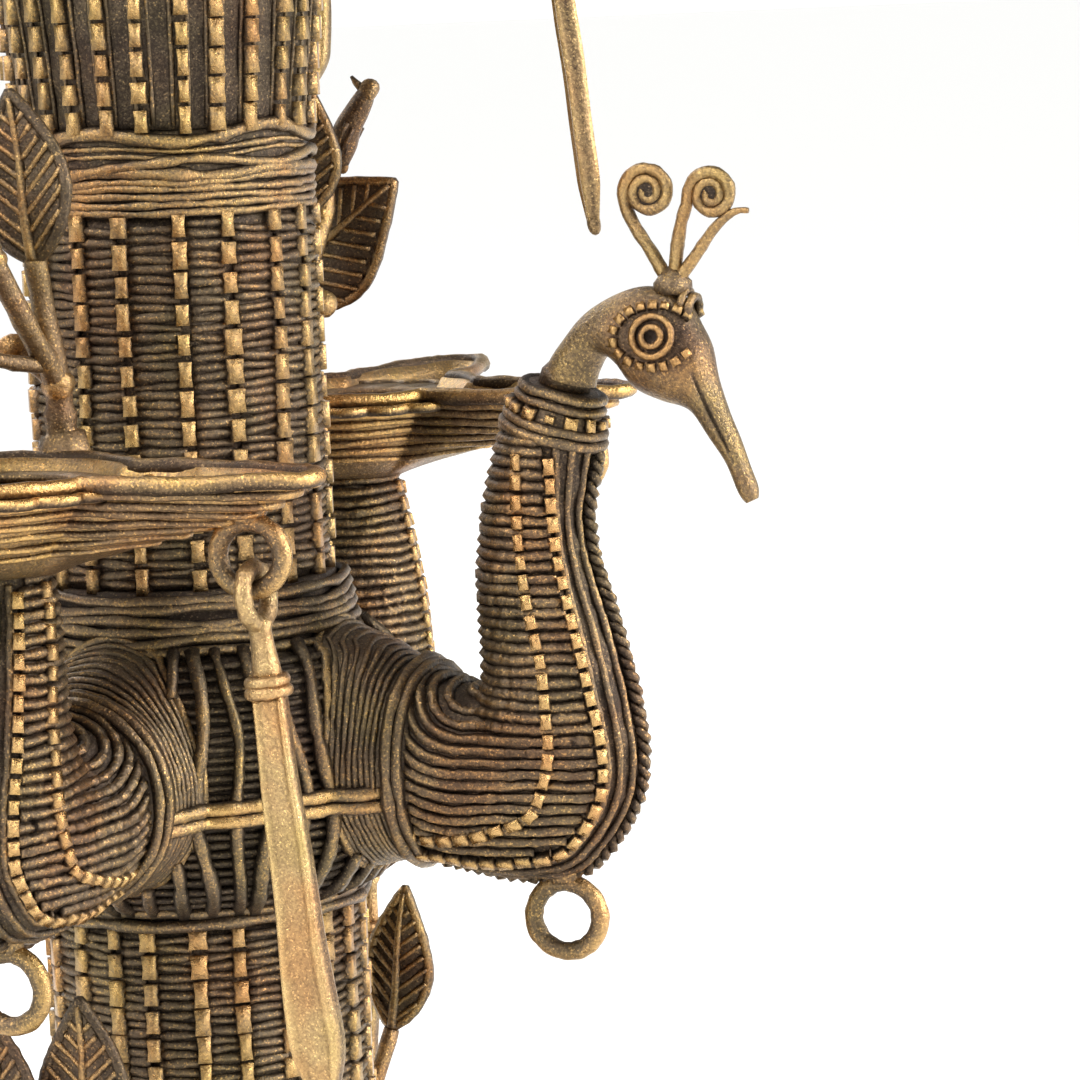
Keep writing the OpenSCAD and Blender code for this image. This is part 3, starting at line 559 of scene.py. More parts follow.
class ThreadSizes(bpy.types.PropertyGroup):
    """Sizes of the wax threads and beads that cover the castings."""
    rib_pitch: length_property("Rib pitch", "Spacing of the ribs on the trunk", 1.2, 0.9, 3.0)
    rib_radius: length_property("Rib radius", "Radius of a wax thread", 0.62, 0.3, 1.0)
    bead_pitch: length_property("Bead pitch", "Spacing of the trunk's beads", 3.5, 2.0, 5.0)
    arm_thread_pitch: length_property("Arm thread pitch", "Spacing of the arms' threads", 1.42, 1.1, 2.5)
    arm_bead_pitch: length_property("Arm bead pitch", "Spacing of the arms' beads", 2.4, 1.6, 4.0)
    trunk_strips: bpy.props.IntProperty(name="Trunk strips",
                                        description="Bead strips round the lower trunk", default=22, min=12,
                                        max=32)


def colours():
    """The colours that the user has set."""
    return bpy.context.scene.lamp_colours


def sizes():
    """The thread sizes that the user has set, in metres."""
    return bpy.context.scene.lamp_sizes


def finish_named(name):
    """The named finish, made on first use."""
    if name in bpy.data.materials:
        return bpy.data.materials[name]
    tone = colours()
    # Brass with its brown patina left on, of the trunk, bellies and foot.
    if name == "patina_brass":
        return brass(name, tone.recess, tone.body, tone.crest)
    # The same brass, a little brighter where the arms and leaves are handled.
    if name == "wound_brass":
        return brass(name, tone.recess, linear("#675846"), linear("#c09d6a"))
    # Brass left rough from the sand, of the heads and crests.
    if name == "sandy_brass":
        return brass(name, linear("#312820"), linear("#6a5a47"), linear("#b39665"), rough=(0.5, 0.28),
                     lift=-0.04, mottle=0.6)
    # Browner brass, smoothed by oil, of the bowls and branches.
    if name == "ladle_brass":
        return brass(name, linear("#3d3024"), tone.bowl, linear("#d2aa6e"), rough=(0.5, 0.27), lift=0.06,
                     mottle=0.5)
    # Cleaner brass of the hanging bars, which rub as they swing.
    if name == "bar_brass":
        return brass(name, linear("#46372a"), tone.pendant, linear("#d2b47e"), rough=(0.45, 0.24),
                     mottle=0.45)
    return turned_steel(name, linear("#b9bcc0"))


# ---- trunk ----

def section_outline(z0, z1, outer, spacing=1.3):
    """A trunk section's outline from z0 to z1; outer gives the radius at a height."""
    count = max(2, int((z1 - z0) / spacing))
    wall = [[outer(z), z] for z in np.linspace(z0, z1, count)]
    return wall + [[BORE, z1], [BORE, z0 + 3], [ROD_HOLE, z0 + 3], [ROD_HOLE, z0], [BORE - 3, z0 - 0.01],
                   [BORE - 3, z0 - SPIGOT], [BORE - 0.05, z0 - SPIGOT], [BORE - 0.05, z0]]


def strip_lines(z0, z1, outer, strips, width, seed):
    """Upright guide lines round the trunk, each wandering a little sideways."""
    rng = np.random.default_rng(int(seed) % 100000)
    lines, angles = [], []
    heights = np.linspace(z0, z1, 24)
    for k in range(strips):
        base = 2 * math.pi * (k + rng.uniform(-0.1, 0.1)) / strips
        radii = np.array([outer(z) for z in heights])
        spots = ring(np.full(24, base), radii, heights)
        around = base + wobble(spots, 26, seed + k) * 0.28 / radii
        size = width * (1 + 0.14 * wobble(spots, 14, seed + 40 + k))
        lines.append(line(ring(around, radii + 0.25, heights), ring(around, 1, 0), size))
        angles.append(base)
    return lines, angles


def rib_lines(z0, z1, outer, angles, pitch, radius, seed, gap=0.035):
    """Short ribs across the fields between the strips, at heights that differ from field to field."""
    rng = np.random.default_rng(int(seed) % 100000)
    lines = []
    for k, start in enumerate(angles):
        end = angles[(k + 1) % len(angles)] + (2 * math.pi if k + 1 == len(angles) else 0)
        z = z0 + rng.uniform(0.2, 0.9) * pitch
        while z < z1 - 0.4 * pitch:
            tilt = rng.uniform(-0.22, 0.22)
            across = np.linspace(start + gap, end - gap, 5)
            heights = z + tilt * np.linspace(-1, 1, 5)
            lines.append(line(ring(across, outer(z) + 0.12 + rng.uniform(-0.12, 0.1), heights),
                              ring(across, 1, 0), radius * rng.uniform(0.86, 1.12)))
            z += pitch * rng.uniform(0.88, 1.12)
    return lines


def trunk_section(name, z0, z1, outer, strips, seed, ribs=True, width=2.1):
    """A trunk section: rough ground, ribs between bead strips."""
    size, finish = sizes(), finish_named("patina_brass")
    ground = turned(section_outline(z0 + 0.05, z1, outer), 112, rough=0.16, size=3.5, seed=seed, wear=0.2)
    strip, angles = strip_lines(z0 + 1.2, z1 - 1.0, outer, strips, width, seed)
    wires = []
    if ribs:
        wires += rib_lines(z0 + 0.4, z1 - 0.2, outer, angles, size.rib_pitch / MM, size.rib_radius / MM,
                           seed + 1)
    else:
        for turn in angles:
            for side in (-0.055, 0.055):
                around = np.full(20, turn + side)
                heights = np.linspace(z0 + 0.6, z1 - 0.6, 20)
                radii = np.array([outer(z) for z in heights])
                wires.append(line(ring(around, radii, heights), ring(around, 1, 0), 0.36))
    rods = threads(wires, finish, seed=seed, facing_level=0.52, Unevenness=0.3)
    pads = beads(strip, finish, size.bead_pitch / MM, 3.2, 2.0, seed=seed, facing_level=0.8, jitter=0.16)
    return build(name + "_casting", [ground, rods, pads], "stand", finish, "dark_brass", name)


class LAMP_OT_trunk(bpy.types.Operator):
    """Makes the ribbed trunk sections and the wire-wound band"""
    bl_idname = "lamp.trunk"
    bl_label = "Trunk"

    def execute(self, context):
        strips = sizes().trunk_strips
        spans = {}
        for name in ("lower_trunk", "middle_trunk", "trunk_band", "flared_trunk", "top_trunk",
                     "base_collar"):
            low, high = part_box(name)
            spans[name] = (low.z / MM, high.z / MM, high.y / MM)
        for name, seed, count in (("lower_trunk", 20, strips), ("middle_trunk", 50, 18),
                                  ("top_trunk", 90, 18)):
            low, high, radius = spans[name]
            trunk_section(name, low + SPIGOT, high, lambda z: radius, count, seed)
        low, high, radius = spans["flared_trunk"]
        low += SPIGOT
        start = spans["middle_trunk"][2] + 0.2
        bend = low + 0.35 * (high - low)
        flare = lambda z: (start + (radius - 0.4 - start) * min(1, (z - low) / (bend - low))
                           + 0.4 * max(0, (z - bend) / (high - bend)))
        trunk_section("flared_trunk", low, high, flare, 26, 70, ribs=False, width=1.9)
        self.band(spans["trunk_band"], spans["middle_trunk"][2])
        self.collar(spans["base_collar"])
        return {"FINISHED"}

    def band(self, span, radius):
        """The band wound with wires between the middle and flared trunks."""
        low, high = span[0] + SPIGOT, span[1]
        finish = finish_named("patina_brass")
        ground = turned(section_outline(low + 0.05, high, lambda z: radius + 0.1, 0.8), 112, rough=0.12,
                        seed=12, wear=0.25)
        wires = [hoop(radius + 0.5, high - 0.9, 0.9, seed=61, wander=0.6),
                 hoop(radius + 0.35, low + 5.2, 0.8, seed=62, wander=0.4),
                 hoop(radius + 0.45, low + 6.5, 0.75, seed=63, wander=0.45)]
        wires += [hoop(radius + 0.4, low + 0.6 + 0.95 * k, 0.56, seed=64 + k, wander=0.26)
                  for k in range(5)]
        wires += [hoop(radius + 0.15, low + z, 0.4, seed=75, wander=0.4) for z in (7.6, 8.5)]
        wound = threads(wires, finish, sides=8, facing_level=0.72, Unevenness=0.45)
        build("trunk_band_casting", [ground, wound], "stand", finish, "dark_brass", "trunk_band")

    def collar(self, span):
        """The wound collar at the trunk's foot."""
        low, high, _ = span
        finish = finish_named("patina_brass")
        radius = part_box("lower_trunk")[1].y / MM
        outline = subdivided([[radius + 3.4, low], [radius + 3.4, low + 3], [radius + 1.8, low + 4],
                              [radius + 0.8, high], [BORE, high], [BORE, low]], 1.2)
        ground = turned(outline, 112, rough=0.1, seed=15, wear=0.2)
        wires = [hoop(radius + 3.5, low + 1.2, 0.9, seed=81), hoop(radius + 2.9, low + 3.1, 0.8, seed=82),
                 hoop(radius + 1.9, low + 4.6, 0.8, seed=83), hoop(radius + 0.9, low + 6.1, 0.75, seed=84)]
        build("base_collar_casting", [ground, threads(wires, finish, sides=8)], "stand", finish,
              "dark_brass", "base_collar")


# ---- bellies ----

BELLY_R = 28.0  # belly at its waist strip, mm
BOSS_R, BOSS_Z = 12.0, 3.0  # an arm's boss: radius, and height above the waist strip, mm


def belly_radius(z):
    """Radius of the belly's ground at a height from its waist strip."""
    if z < -13.1:
        return 20.2
    if z < 0:
        return 20.5 + (BELLY_R - 20.5) * math.sqrt(max(0, 1 - (z / 13.1) ** 2))
    if z < 18.5:
        return 21.5 + (BELLY_R - 21.5) * math.sqrt(max(0, 1 - (z / 18.5) ** 2))
    return 21.5 - 1.9 * (z - 18.5) / 8.1


def belly_shells(finish):
    """One belly, with its waist strip at height 0."""
    low = BELLY_LOW + 0.05
    wall = [[belly_radius(z) - 0.5, z] for z in np.linspace(low, BELLY_TOP, 56)]
    outline = (wall + [[BORE, BELLY_TOP], [BORE, 18], [BORE + 4, 14], [BORE + 9, 3], [BORE + 7, -8],
                       [BORE + 2, -11.6], [ROD_HOLE, -11.6], [ROD_HOLE, low], [BORE - 3, low - 0.01],
                       [BORE - 3, low - SPIGOT], [BORE - 0.05, low - SPIGOT], [BORE - 0.05, low]])
    shells = [turned(outline, 144, rough=0.14, size=3.5, seed=31, wear=0.1)]
    wires, rng = [], np.random.default_rng(8)
    for k in range(29):
        z = -12.6 + 1.2 * k
        if abs(z) > 1.6 and z < 18.6:
            wires.append(hoop(belly_radius(z) - 0.3, z, 0.5, count=96, seed=200 + k, wander=0.14))
    ribs = threads(wires, finish, seed=4, facing_level=0.26, Unevenness=0.3)
    strip = [waist_wire(quarter, height) for quarter in range(4) for height in (-0.82, 0.82)]
    bands = [hoop(20.9, -15.4, 0.85, seed=240), hoop(21.0, -13.9, 0.8, seed=241)]
    for k in range(6):
        bands.append(hoop(21.5 - 0.26 * k, 19.2 + 1.3 * k, 0.74, seed=250 + k, wander=0.35))
    uprights = []
    for k in range(44):
        turn = 2 * math.pi * (k + 0.5 + rng.uniform(-0.16, 0.16)) / 44
        for low_z, high_z, radius in ((0.6, 19.4, 0.84), (-13.8, -0.6, 0.95)):
            heights = np.linspace(low_z, high_z, 16)
            bent = turn + 0.03 * np.sin(heights / 4 + k) + rng.uniform(-0.03, 0.03) * np.linspace(0, 1, 16)
            from_arm = (bent + math.pi / 4) % (math.pi / 2) - math.pi / 4
            radii = np.array([belly_radius(z) for z in heights]) + 0.7
            away = np.hypot(from_arm * radii, heights - BOSS_Z)
            clear = away > flare_reach((heights - BOSS_Z) / np.maximum(away, 1)) - 0.3
            if clear.sum() > 3:
                first = int(np.argmax(clear)) if low_z > 0 else 0
                run = slice(first, None) if low_z > 0 else slice(0, int(len(clear) - np.argmax(clear[::-1])))
                points = ring(bent, radii, heights)[run][clear[run]]
                if len(points) > 3:
                    uprights.append(line(points, ring(bent, 1, 0)[run][clear[run]],
                                         radius * rng.uniform(0.88, 1.1)))
    shells += [ribs, threads(strip, finish, sides=8, seed=6, facing_level=0.95),
               threads(bands, finish, seed=9, facing_level=0.6, Unevenness=0.35),
               threads(uprights, finish, seed=5, facing_level=0.64, Unevenness=0.3)]
    for quarter in range(4):
        shells += moved(shoulder(finish, quarter), 90 * quarter)
    return shells


def flare_reach(rise):
    """How far an arm's flare spreads on the belly; rise is 1 straight above the arm and 0 beside it."""
    return 13.4 + 4.6 * np.maximum(0, rise) ** 4


def waist_wire(quarter, height):
    """One wire of the waist strip between two arms, which climbs their flares at both ends."""
    turn = np.linspace(19.8, 70.2, 40)
    climb = np.maximum(0, 29 - np.minimum(turn, 90 - turn))
    around = np.radians(turn + 90 * quarter)
    points = ring(around, BELLY_R + 1.4 + 0.5 * climb, height)
    points[:, 2] += 0.14 * wobble(points, 9, 230 + quarter)
    return line(points, ring(around, 1, 0), 0.92)


def shoulder(finish, seed):
    """The flare from the belly out to an arm's boss, with a thick hoop at its edge and fine threads."""
    angles = np.linspace(0, 2 * math.pi, 64, endpoint=False)
    reach = flare_reach(np.sin(angles))
    rows, hoops, fine = [], [], []
    for k, share in enumerate(np.linspace(0, 1, 10)):
        radius = BOSS_R + 0.3 + (reach - BOSS_R - 0.3) * share
        y, z = radius * np.cos(angles), BOSS_Z + radius * np.sin(angles)
        skin = np.array([math.sqrt(max(1, belly_radius(h) ** 2 - w ** 2)) for w, h in zip(y, z)])
        x = np.maximum(31.4 * (1 - share) + skin * share, skin)
        rows.append(np.stack([x, y, z], axis=-1))
        points = rows[-1] + np.array([0.1, 0, 0])
        points[:, 0] += 0.2 * wobble(points, 6, seed + 3)
        out = np.stack([np.full(64, 0.8), np.cos(angles), np.sin(angles)], axis=-1)
        if k == 9:
            hoops.append(line(points, out, 0.72, closed=True))
        elif k:
            fine.append(line(points, out, 0.42, closed=True))
    rows.append(rows[-1] * [0.6, 1, 1])
    rows.insert(0, np.stack([np.full(64, 31.95), (BOSS_R - 0.1) * np.cos(angles),
                             BOSS_Z + (BOSS_R - 0.1) * np.sin(angles)], axis=-1))
    return [grid_shell(np.stack(rows), 0.35),
            threads(hoops, finish, seed=seed, facing_level=0.7, Unevenness=0.35),
            threads(fine, finish, seed=seed + 1, facing_level=0.56, Unevenness=0.4)]


class LAMP_OT_bellies(bpy.types.Operator):
    """Makes the two round bellies with their meridian wires, waist strips and bands"""
    bl_idname = "lamp.bellies"
    bl_label = "Bellies"

    def execute(self, context):
        finish = finish_named("patina_brass")
        shells = belly_shells(finish)
        for tier, turn in (("lower", 0), ("upper", 90)):
            build(f"{tier}_belly_casting", moved(shells, turn, (0, 0, WAIST[tier])), "stand", finish,
                  "dark_brass", f"{tier}_belly")
        return {"FINISHED"}


# ---- arms ----

# Slices of the chest and neck: inner x, inner z, outer x, outer z, half width; mm from the tier's waist.
CHEST = [
    [33.2, 15.2, 33.2, -9.4, 10.8], [36.8, 13.6, 37.5, -9.9, 10.8], [39.6, 12.5, 42.8, -10.9, 10.5],
    [41.6, 12.4, 49, -11, 10], [42.2, 14, 55, -9, 9.5], [42.2, 17.3, 60, -2.5, 9],
    [42, 20.6, 61.8, 3.5, 8.6], [41.8, 24, 61.2, 11, 8.2], [41.9, 28.5, 58.8, 21, 7.6],
    [42.3, 32, 56.6, 28, 7]]
PEACOCK_NECK = (CHEST + [[43.1, 36.4, 55.8, 34.5, 6.6], [44.3, 40.8, 56.8, 39.6, 6.4],
                         [46, 47, 58, 43.8, 6.2]])
LAMP_NECK = CHEST + [[42.9, 33.5, 55.9, 33.5, 6.4]]
CROTCH = (41.4, 14.6)  # the threads bend round this corner between root and neck
# Where the two bead rows run: share of the way across the flank, slice by slice from the root.
INNER_ROW = [0.8, 0.8, 0.73, 0.67, 0.67, 0.61, 0.55, 0.55, 0.52, 0.53, 0.51, 0.43, 0.33]
OUTER_ROW = [0.93, 0.91, 0.88, 0.86, 0.89, 0.89, 0.85, 0.81, 0.8, 0.81, 0.8, 0.73, 0.62]


def sliced(slices, m, n):
    """A grid (m, n, 3) on a body of elliptical slices, its slice position and the angle round each slice."""
    rows = curve_through(slices, m)[:, None]
    angle = np.linspace(0, 2 * math.pi, n, endpoint=False)[None]
    points = np.stack([(rows[..., 0] + rows[..., 2]) / 2
                       + (rows[..., 2] - rows[..., 0]) / 2 * np.cos(angle), rows[..., 4] * np.sin(angle),
                       (rows[..., 1] + rows[..., 3]) / 2
                       + (rows[..., 3] - rows[..., 1]) / 2 * np.cos(angle)], axis=-1)
    return points, np.linspace(0, len(slices) - 1, m), angle[0]


def outward(points):
    """Unit normals of a grid that closes round its second direction, away from its middle line."""
    normals = np.cross(np.gradient(points, axis=0),
                       np.roll(points, -1, axis=1) - np.roll(points, 1, axis=1))
    side = np.einsum("ijk,ijk->ij", normals, points - points.mean(axis=1, keepdims=True))
    return unit(normals * np.sign(np.median(side)))


def along_surface(points, out, angles):
    """Spots and outward directions on a grid at one angle per row."""
    n = points.shape[1]
    spot = (np.asarray(angles) % (2 * math.pi)) / (2 * math.pi) * n
    low = spot.astype(int) % n
    share = (spot - spot.astype(int))[:, None]
    rows = np.arange(points.shape[0])
    mix = lambda grid: grid[rows, low] * (1 - share) + grid[rows, (low + 1) % n] * share
    return mix(points), unit(mix(out))


def twisted(points, out, radius, pitch, strand):
    """Two strands wound round a line like a rope."""
    tangent = unit(np.gradient(points, axis=0))
    across = unit(np.cross(tangent, out))
    run = np.concatenate([[0], np.cumsum(np.linalg.norm(np.diff(points, axis=0), axis=1))])
    lines = []
    for start in (0, math.pi):
        turn = run / pitch * math.pi + start
        offset = radius * (np.cos(turn)[:, None] * across + np.sin(turn)[:, None] * out)
        lines.append(line(points + offset, out, strand))
    return lines


def chest_wires(slices, seed):
    """Guide lines of an arm: wound threads, threads along the breast, its rope, and the bead rows."""
    points, position, angle = sliced(slices, 130, 84)
    out = outward(points)
    inner = np.arccos(2 * np.interp(position, range(13), INNER_ROW) - 1)
    outer = np.arccos(2 * np.interp(position, range(13), OUTER_ROW) - 1)
    x, z = points[..., 0] - CROTCH[0], CROTCH[1] - points[..., 2]
    bend = np.where(x >= 0, z, np.hypot(x, z))
    bend = bend + 0.12 * wobble(points, 5, seed)
    turned_in = np.minimum(angle, 2 * math.pi - angle)[None]
    keep = (turned_in > outer[:, None] + 0.04) & (position[:, None] < len(slices) - 1.12)
    pitch = sizes().arm_thread_pitch / MM
    levels = np.arange(math.floor(bend.min() / pitch) * pitch, bend.max(), pitch)
    wires = contours(points, out, bend, levels, keep, 0.53 * pitch)
    rows = []
    for side in (-1, 1):
        for share in (0.3, 0.62, 0.88):
            spots, away = along_surface(points, out, side * outer * share)
            wires.append(line(spots[2:-3], away[2:-3], 0.58))
        for row, width in ((inner, 1.6), (outer, 1.55)):
            spots, away = along_surface(points, out, side * row)
            last = len(spots) - 8
            rows.append(line((spots + 0.5 * away)[3:last], away[3:last], width))
    breast, away = (curve_through(row, 900) for row in along_surface(points, out, 0 * position))
    wires += twisted(breast[20:-30] + 0.3 * away[20:-30], unit(away[20:-30]), 0.5, 1.5, 0.62)
    return points, out, wires, rows


def root_wires():
    """Two wires round the arm's root."""
    lines = []
    angles = np.linspace(0, 2 * math.pi, 48, endpoint=False)
    for x, radius, thread in ((32.7, BOSS_R + 0.9, 0.85), (34.0, BOSS_R + 0.35, 0.75)):
        points = np.stack([np.full(48, x), radius * np.cos(angles), BOSS_Z + radius * np.sin(angles)],
                          axis=-1)
        points[:, 0] += 0.18 * wobble(points, 8, 3)
        out = np.stack([np.full(48, 0.5), np.cos(angles), np.sin(angles)], axis=-1)
        lines.append(line(points, out, thread, closed=True))
    return lines


def root_plate():
    """The round plate and tenon that seat an arm on its boss."""
    angles = np.linspace(0, 2 * math.pi, 48, endpoint=False)
    rows = [[25, 7.4], [32, 7.4], [32.01, BOSS_R + 0.6], [33.4, BOSS_R + 0.6], [34.6, BOSS_R - 0.6]]
    return grid_shell(np.stack([np.stack([np.full(48, x), r * np.cos(angles), BOSS_Z + r * np.sin(angles)],
                                         axis=-1) for x, r in rows]), 0.2)


EYELET_WIRE = 1.2  # wire radius of every eyelet, mm
CHEST_EYELET_X, CHEST_EYELET_Z, CHEST_EYELET_R = 51.0, -16.5, 4.5


def eyelet(centre, radius, finish, seed, stub):
    """A cast wire ring across Y, a little uneven, with a stub above it."""
    angles = np.linspace(0, 2 * math.pi, 64, endpoint=False)
    away = np.stack([np.cos(angles), np.zeros(64), np.sin(angles)], axis=-1)
    points = np.array(centre) + radius * away
    points += 0.1 * wobble(points, 6, seed)[:, None] * away
    wire = threads([line(points, away, EYELET_WIRE, closed=True)], finish, sides=14, facing_level=0.9, Least=0.5,
                   Wander=0.00002, Unevenness=0.08)
    rows = [[3.4, radius + stub], [2.9, radius + stub * 0.6], [2.1, radius + 0.7], [1.9, radius - 0.1]]
    body = np.stack([np.array(centre)
                     + np.stack([w * np.cos(angles), 1.45 * np.sin(angles), np.full(64, h)], axis=-1) for w,
                     h in rows])
    body += 0.12 * wobble(body, 2.5, seed + 1)[..., None]
    return [wire, grid_shell(body, 0.55)]


def arm_shells(slices, finish, seed):
    """One arm along X: its chest and neck, root, threads and beads."""
    points, out, wires, rows = chest_wires(slices, seed)
    ground = points - (0.12 + 0.12 * wobble(points, 2.4, seed))[..., None] * out
    return [grid_shell(ground, 0.2), root_plate(),
            threads(wires + root_wires(), finish, sides=5, seed=seed, facing_level=0.62, Unevenness=0.22),
            beads(rows, finish, sizes().arm_bead_pitch / MM, 1.95, 1.25, seed=seed)]


COLLAR_FOOT, COLLAR_LEAN = (52.0, 45.4), 17.0  # the neck collar: foot x and z in mm, lean in degrees


def leaned(points):
    """Points given along the neck collar's own axis, put in place on the neck."""
    c, s = math.cos(math.radians(COLLAR_LEAN)), math.sin(math.radians(COLLAR_LEAN))
    x, y, z = points[..., 0], points[..., 1], points[..., 2]
    return np.stack([x * c + z * s + COLLAR_FOOT[0], y, -x * s + z * c + COLLAR_FOOT[1]], axis=-1)


def neck_collar(finish):
    """The wire-wound collar at the top of a peacock's neck, with small knobs along one wire."""
    angles = np.linspace(0, 2 * math.pi, 48, endpoint=False)
    rows = [[6.0, -1.2], [6.2, -0.2], [5.9, 1.0], [5.3, 3.2], [5.0, 4.6], [4.4, 5.2], [3, 5.25]]
    shells = [grid_shell(leaned(np.stack([ring(angles, r, z) for r, z in rows])), 0.35)]
    wires = [line(leaned(ring(angles, r, z)), ring(angles, 1, 0), t, closed=True)
             for r, z, t in ((6.35, -0.6, 0.75), (6.15, 0.7, 0.68), (5.35, 3.4, 0.62), (5.0, 4.7, 0.72))]
    knobs = [line(leaned(ring(angles, 5.95, 2.05)), ring(angles, 1, 0), 1.4, closed=True)]
    return shells + [threads(wires, finish, sides=8), beads(knobs, finish, 2.7, 1.7, 1.2, jitter=0.4)]


class LAMP_OT_arms(bpy.types.Operator):
    """Makes the eight peacock arms, with their threads, bead rows, collars and eyelets"""
    bl_idname = "lamp.arms"
    bl_label = "Arms"

    def execute(self, context):
        finish = finish_named("wound_brass")
        peacock = arm_shells(PEACOCK_NECK, finish, 101) + neck_collar(finish)
        lamp = arm_shells(LAMP_NECK, finish, 131)
        for tier, waist in WAIST.items():
            for side, turn in TURNS.items():
                kind, shells = ("peacock", peacock) if side in ("right", "left") else ("lamp", lamp)
                name = f"{tier}_{side}_{kind}_arm"
                centre = placed(np.array([CHEST_EYELET_X, 0, CHEST_EYELET_Z]), turn)
                hook = eyelet(centre, CHEST_EYELET_R, finish, turn + 200, stub=5.0)
                build(name + "_casting", moved(moved(shells, turn) + hook, 0, (0, 0, waist)), "stand",
                      finish, "worn_brass", name)
        return {"FINISHED"}


# ---- heads and crests ----

HEAD = [
    [50.9, 52.3, 57.6, 50.3, 3.4], [52.9, 55.1, 58.2, 52.4, 3.3], [55.8, 58.5, 59.4, 54.2, 3.4],
    [59.4, 61.2, 61.2, 53, 3.9], [62.8, 62.4, 63.4, 50.2, 4.4], [66.3, 62.6, 66.6, 48.6, 4.6],
    [69.6, 61.6, 69.2, 48, 4.2], [72.3, 57.4, 70.6, 47.2, 3.4], [74.2, 50.4, 71.9, 45.4, 2.4],
    [76.4, 44, 74.2, 41.6, 1.7], [78.2, 38.6, 76.2, 37.4, 1.3], [78.3, 36.8, 77.1, 36.2, 0.7]]
EYE = (67.0, 56.9)  # the eye's centre on the flank, x and z


def on_flank(points, out, places, side):
    """Spots and outward directions on one side of a grid, nearest to x and z places."""
    flat, away = points.reshape(-1, 3), out.reshape(-1, 3)
    mine = flat[:, 1] * side > 0.3
    flat, away = flat[mine], away[mine]
    nearest = ((flat[None, :, 0] - places[:, :1]) ** 2
               + (flat[None, :, 2] - places[:, 1:]) ** 2).argmin(axis=1)
    spots = np.stack([places[:, 0], flat[nearest, 1], places[:, 1]], axis=-1)
    return spots, away[nearest]


def round_eye(radius, count=36, start=0.0, end=360.0, flat=1.0):
    """Places, x and z, on an arc round the eye, from start to end in degrees."""
    angles = np.radians(np.linspace(start, end, count, endpoint=end - start < 360))
    return np.stack([EYE[0] + radius * np.cos(angles), EYE[1] + flat * radius * np.sin(angles)], axis=-1)


def head_shells(finish):
    """A peacock's head with its eyes, lashes, mouth, brow wires and peg."""
    points, position, angle = sliced(HEAD, 150, 96)
    out = outward(points)
    smooth = points + (0.1 * wobble(points, 3, 4))[..., None] * out
    ends = np.clip((position[:, None] - 6.9) / 0.5, 0, 1) * np.clip((9.4 - position[:, None]) / 0.6, 0, 1)
    mouth = np.exp(-((np.cos(angle)[None] + 0.05) / 0.11) ** 2) * ends
    aside, above = points[..., 0] - EYE[0], points[..., 2] - EYE[1]
    pupil = np.exp(-(aside ** 2 + above ** 2) / 0.7)
    socket = np.exp(-((aside / 5.4) ** 2 + (above / 4.1) ** 2) ** 3)
    smooth = smooth - (0.4 * mouth + 0.4 * pupil + 0.35 * socket)[..., None] * out
    shells = [grid_shell(smooth, 0.62 - 0.45 * mouth - 0.3 * pupil - 0.36 * socket)]
    peg = [[2.3, -3.2], [2.3, 0.42], [3.3, 0.5], [3.2, 2.0], [2.4, 3.2], [0.6, 3.4]]
    circle = np.linspace(0, 2 * math.pi, 32, endpoint=False)
    shells.append(grid_shell(leaned(np.stack([ring(circle, r, z + 4.9) for r, z in peg])), 0.4))
    wires, lashes = [], []
    for side in (-1, 1):
        for radius, thread in ((1.2, 0.46), (2.45, 0.5)):
            spots, away = on_flank(points, out, round_eye(radius), side)
            wires.append(line(spots, away, thread, closed=True))
        for radius, start, end, width in ((5.0, 40, 190, 1.2), (5.0, 212, 325, 1.2)):
            spots, away = on_flank(points, out, round_eye(radius, 30, start, end, 0.74), side)
            lashes.append(line(spots, away, width))
    for k in range(2):
        turn = np.linspace(-0.3, math.pi + 0.3, 16)
        band = np.stack([70.0 + 0.9 * k + 0.3 * np.sin(turn), -2.0 * np.cos(turn),
                         60.2 - 0.7 * k + 1.9 * np.sin(turn)], axis=-1)
        wires.append(line(band, [0.2, 0, 1], 0.56))
    shells += [threads(wires, finish, sides=8, facing_level=0.9, Least=0.4, Wander=0.00004),
               beads(lashes, finish, 1.4, 1.1, 1.1, jitter=0.15)]
    return shells


def spiral(x, z, radius, turns, start, way, count=46):
    """A flat spiral in the XZ plane that winds inward, with start and way in degrees and +-1."""
    share = np.linspace(0, 1, count)
    angles = math.radians(start) + way * 2 * math.pi * turns * share
    reach = radius * (1 - 0.82 * share)
    return np.stack([x + reach * np.cos(angles), np.zeros(count), z + reach * np.sin(angles)], axis=-1)


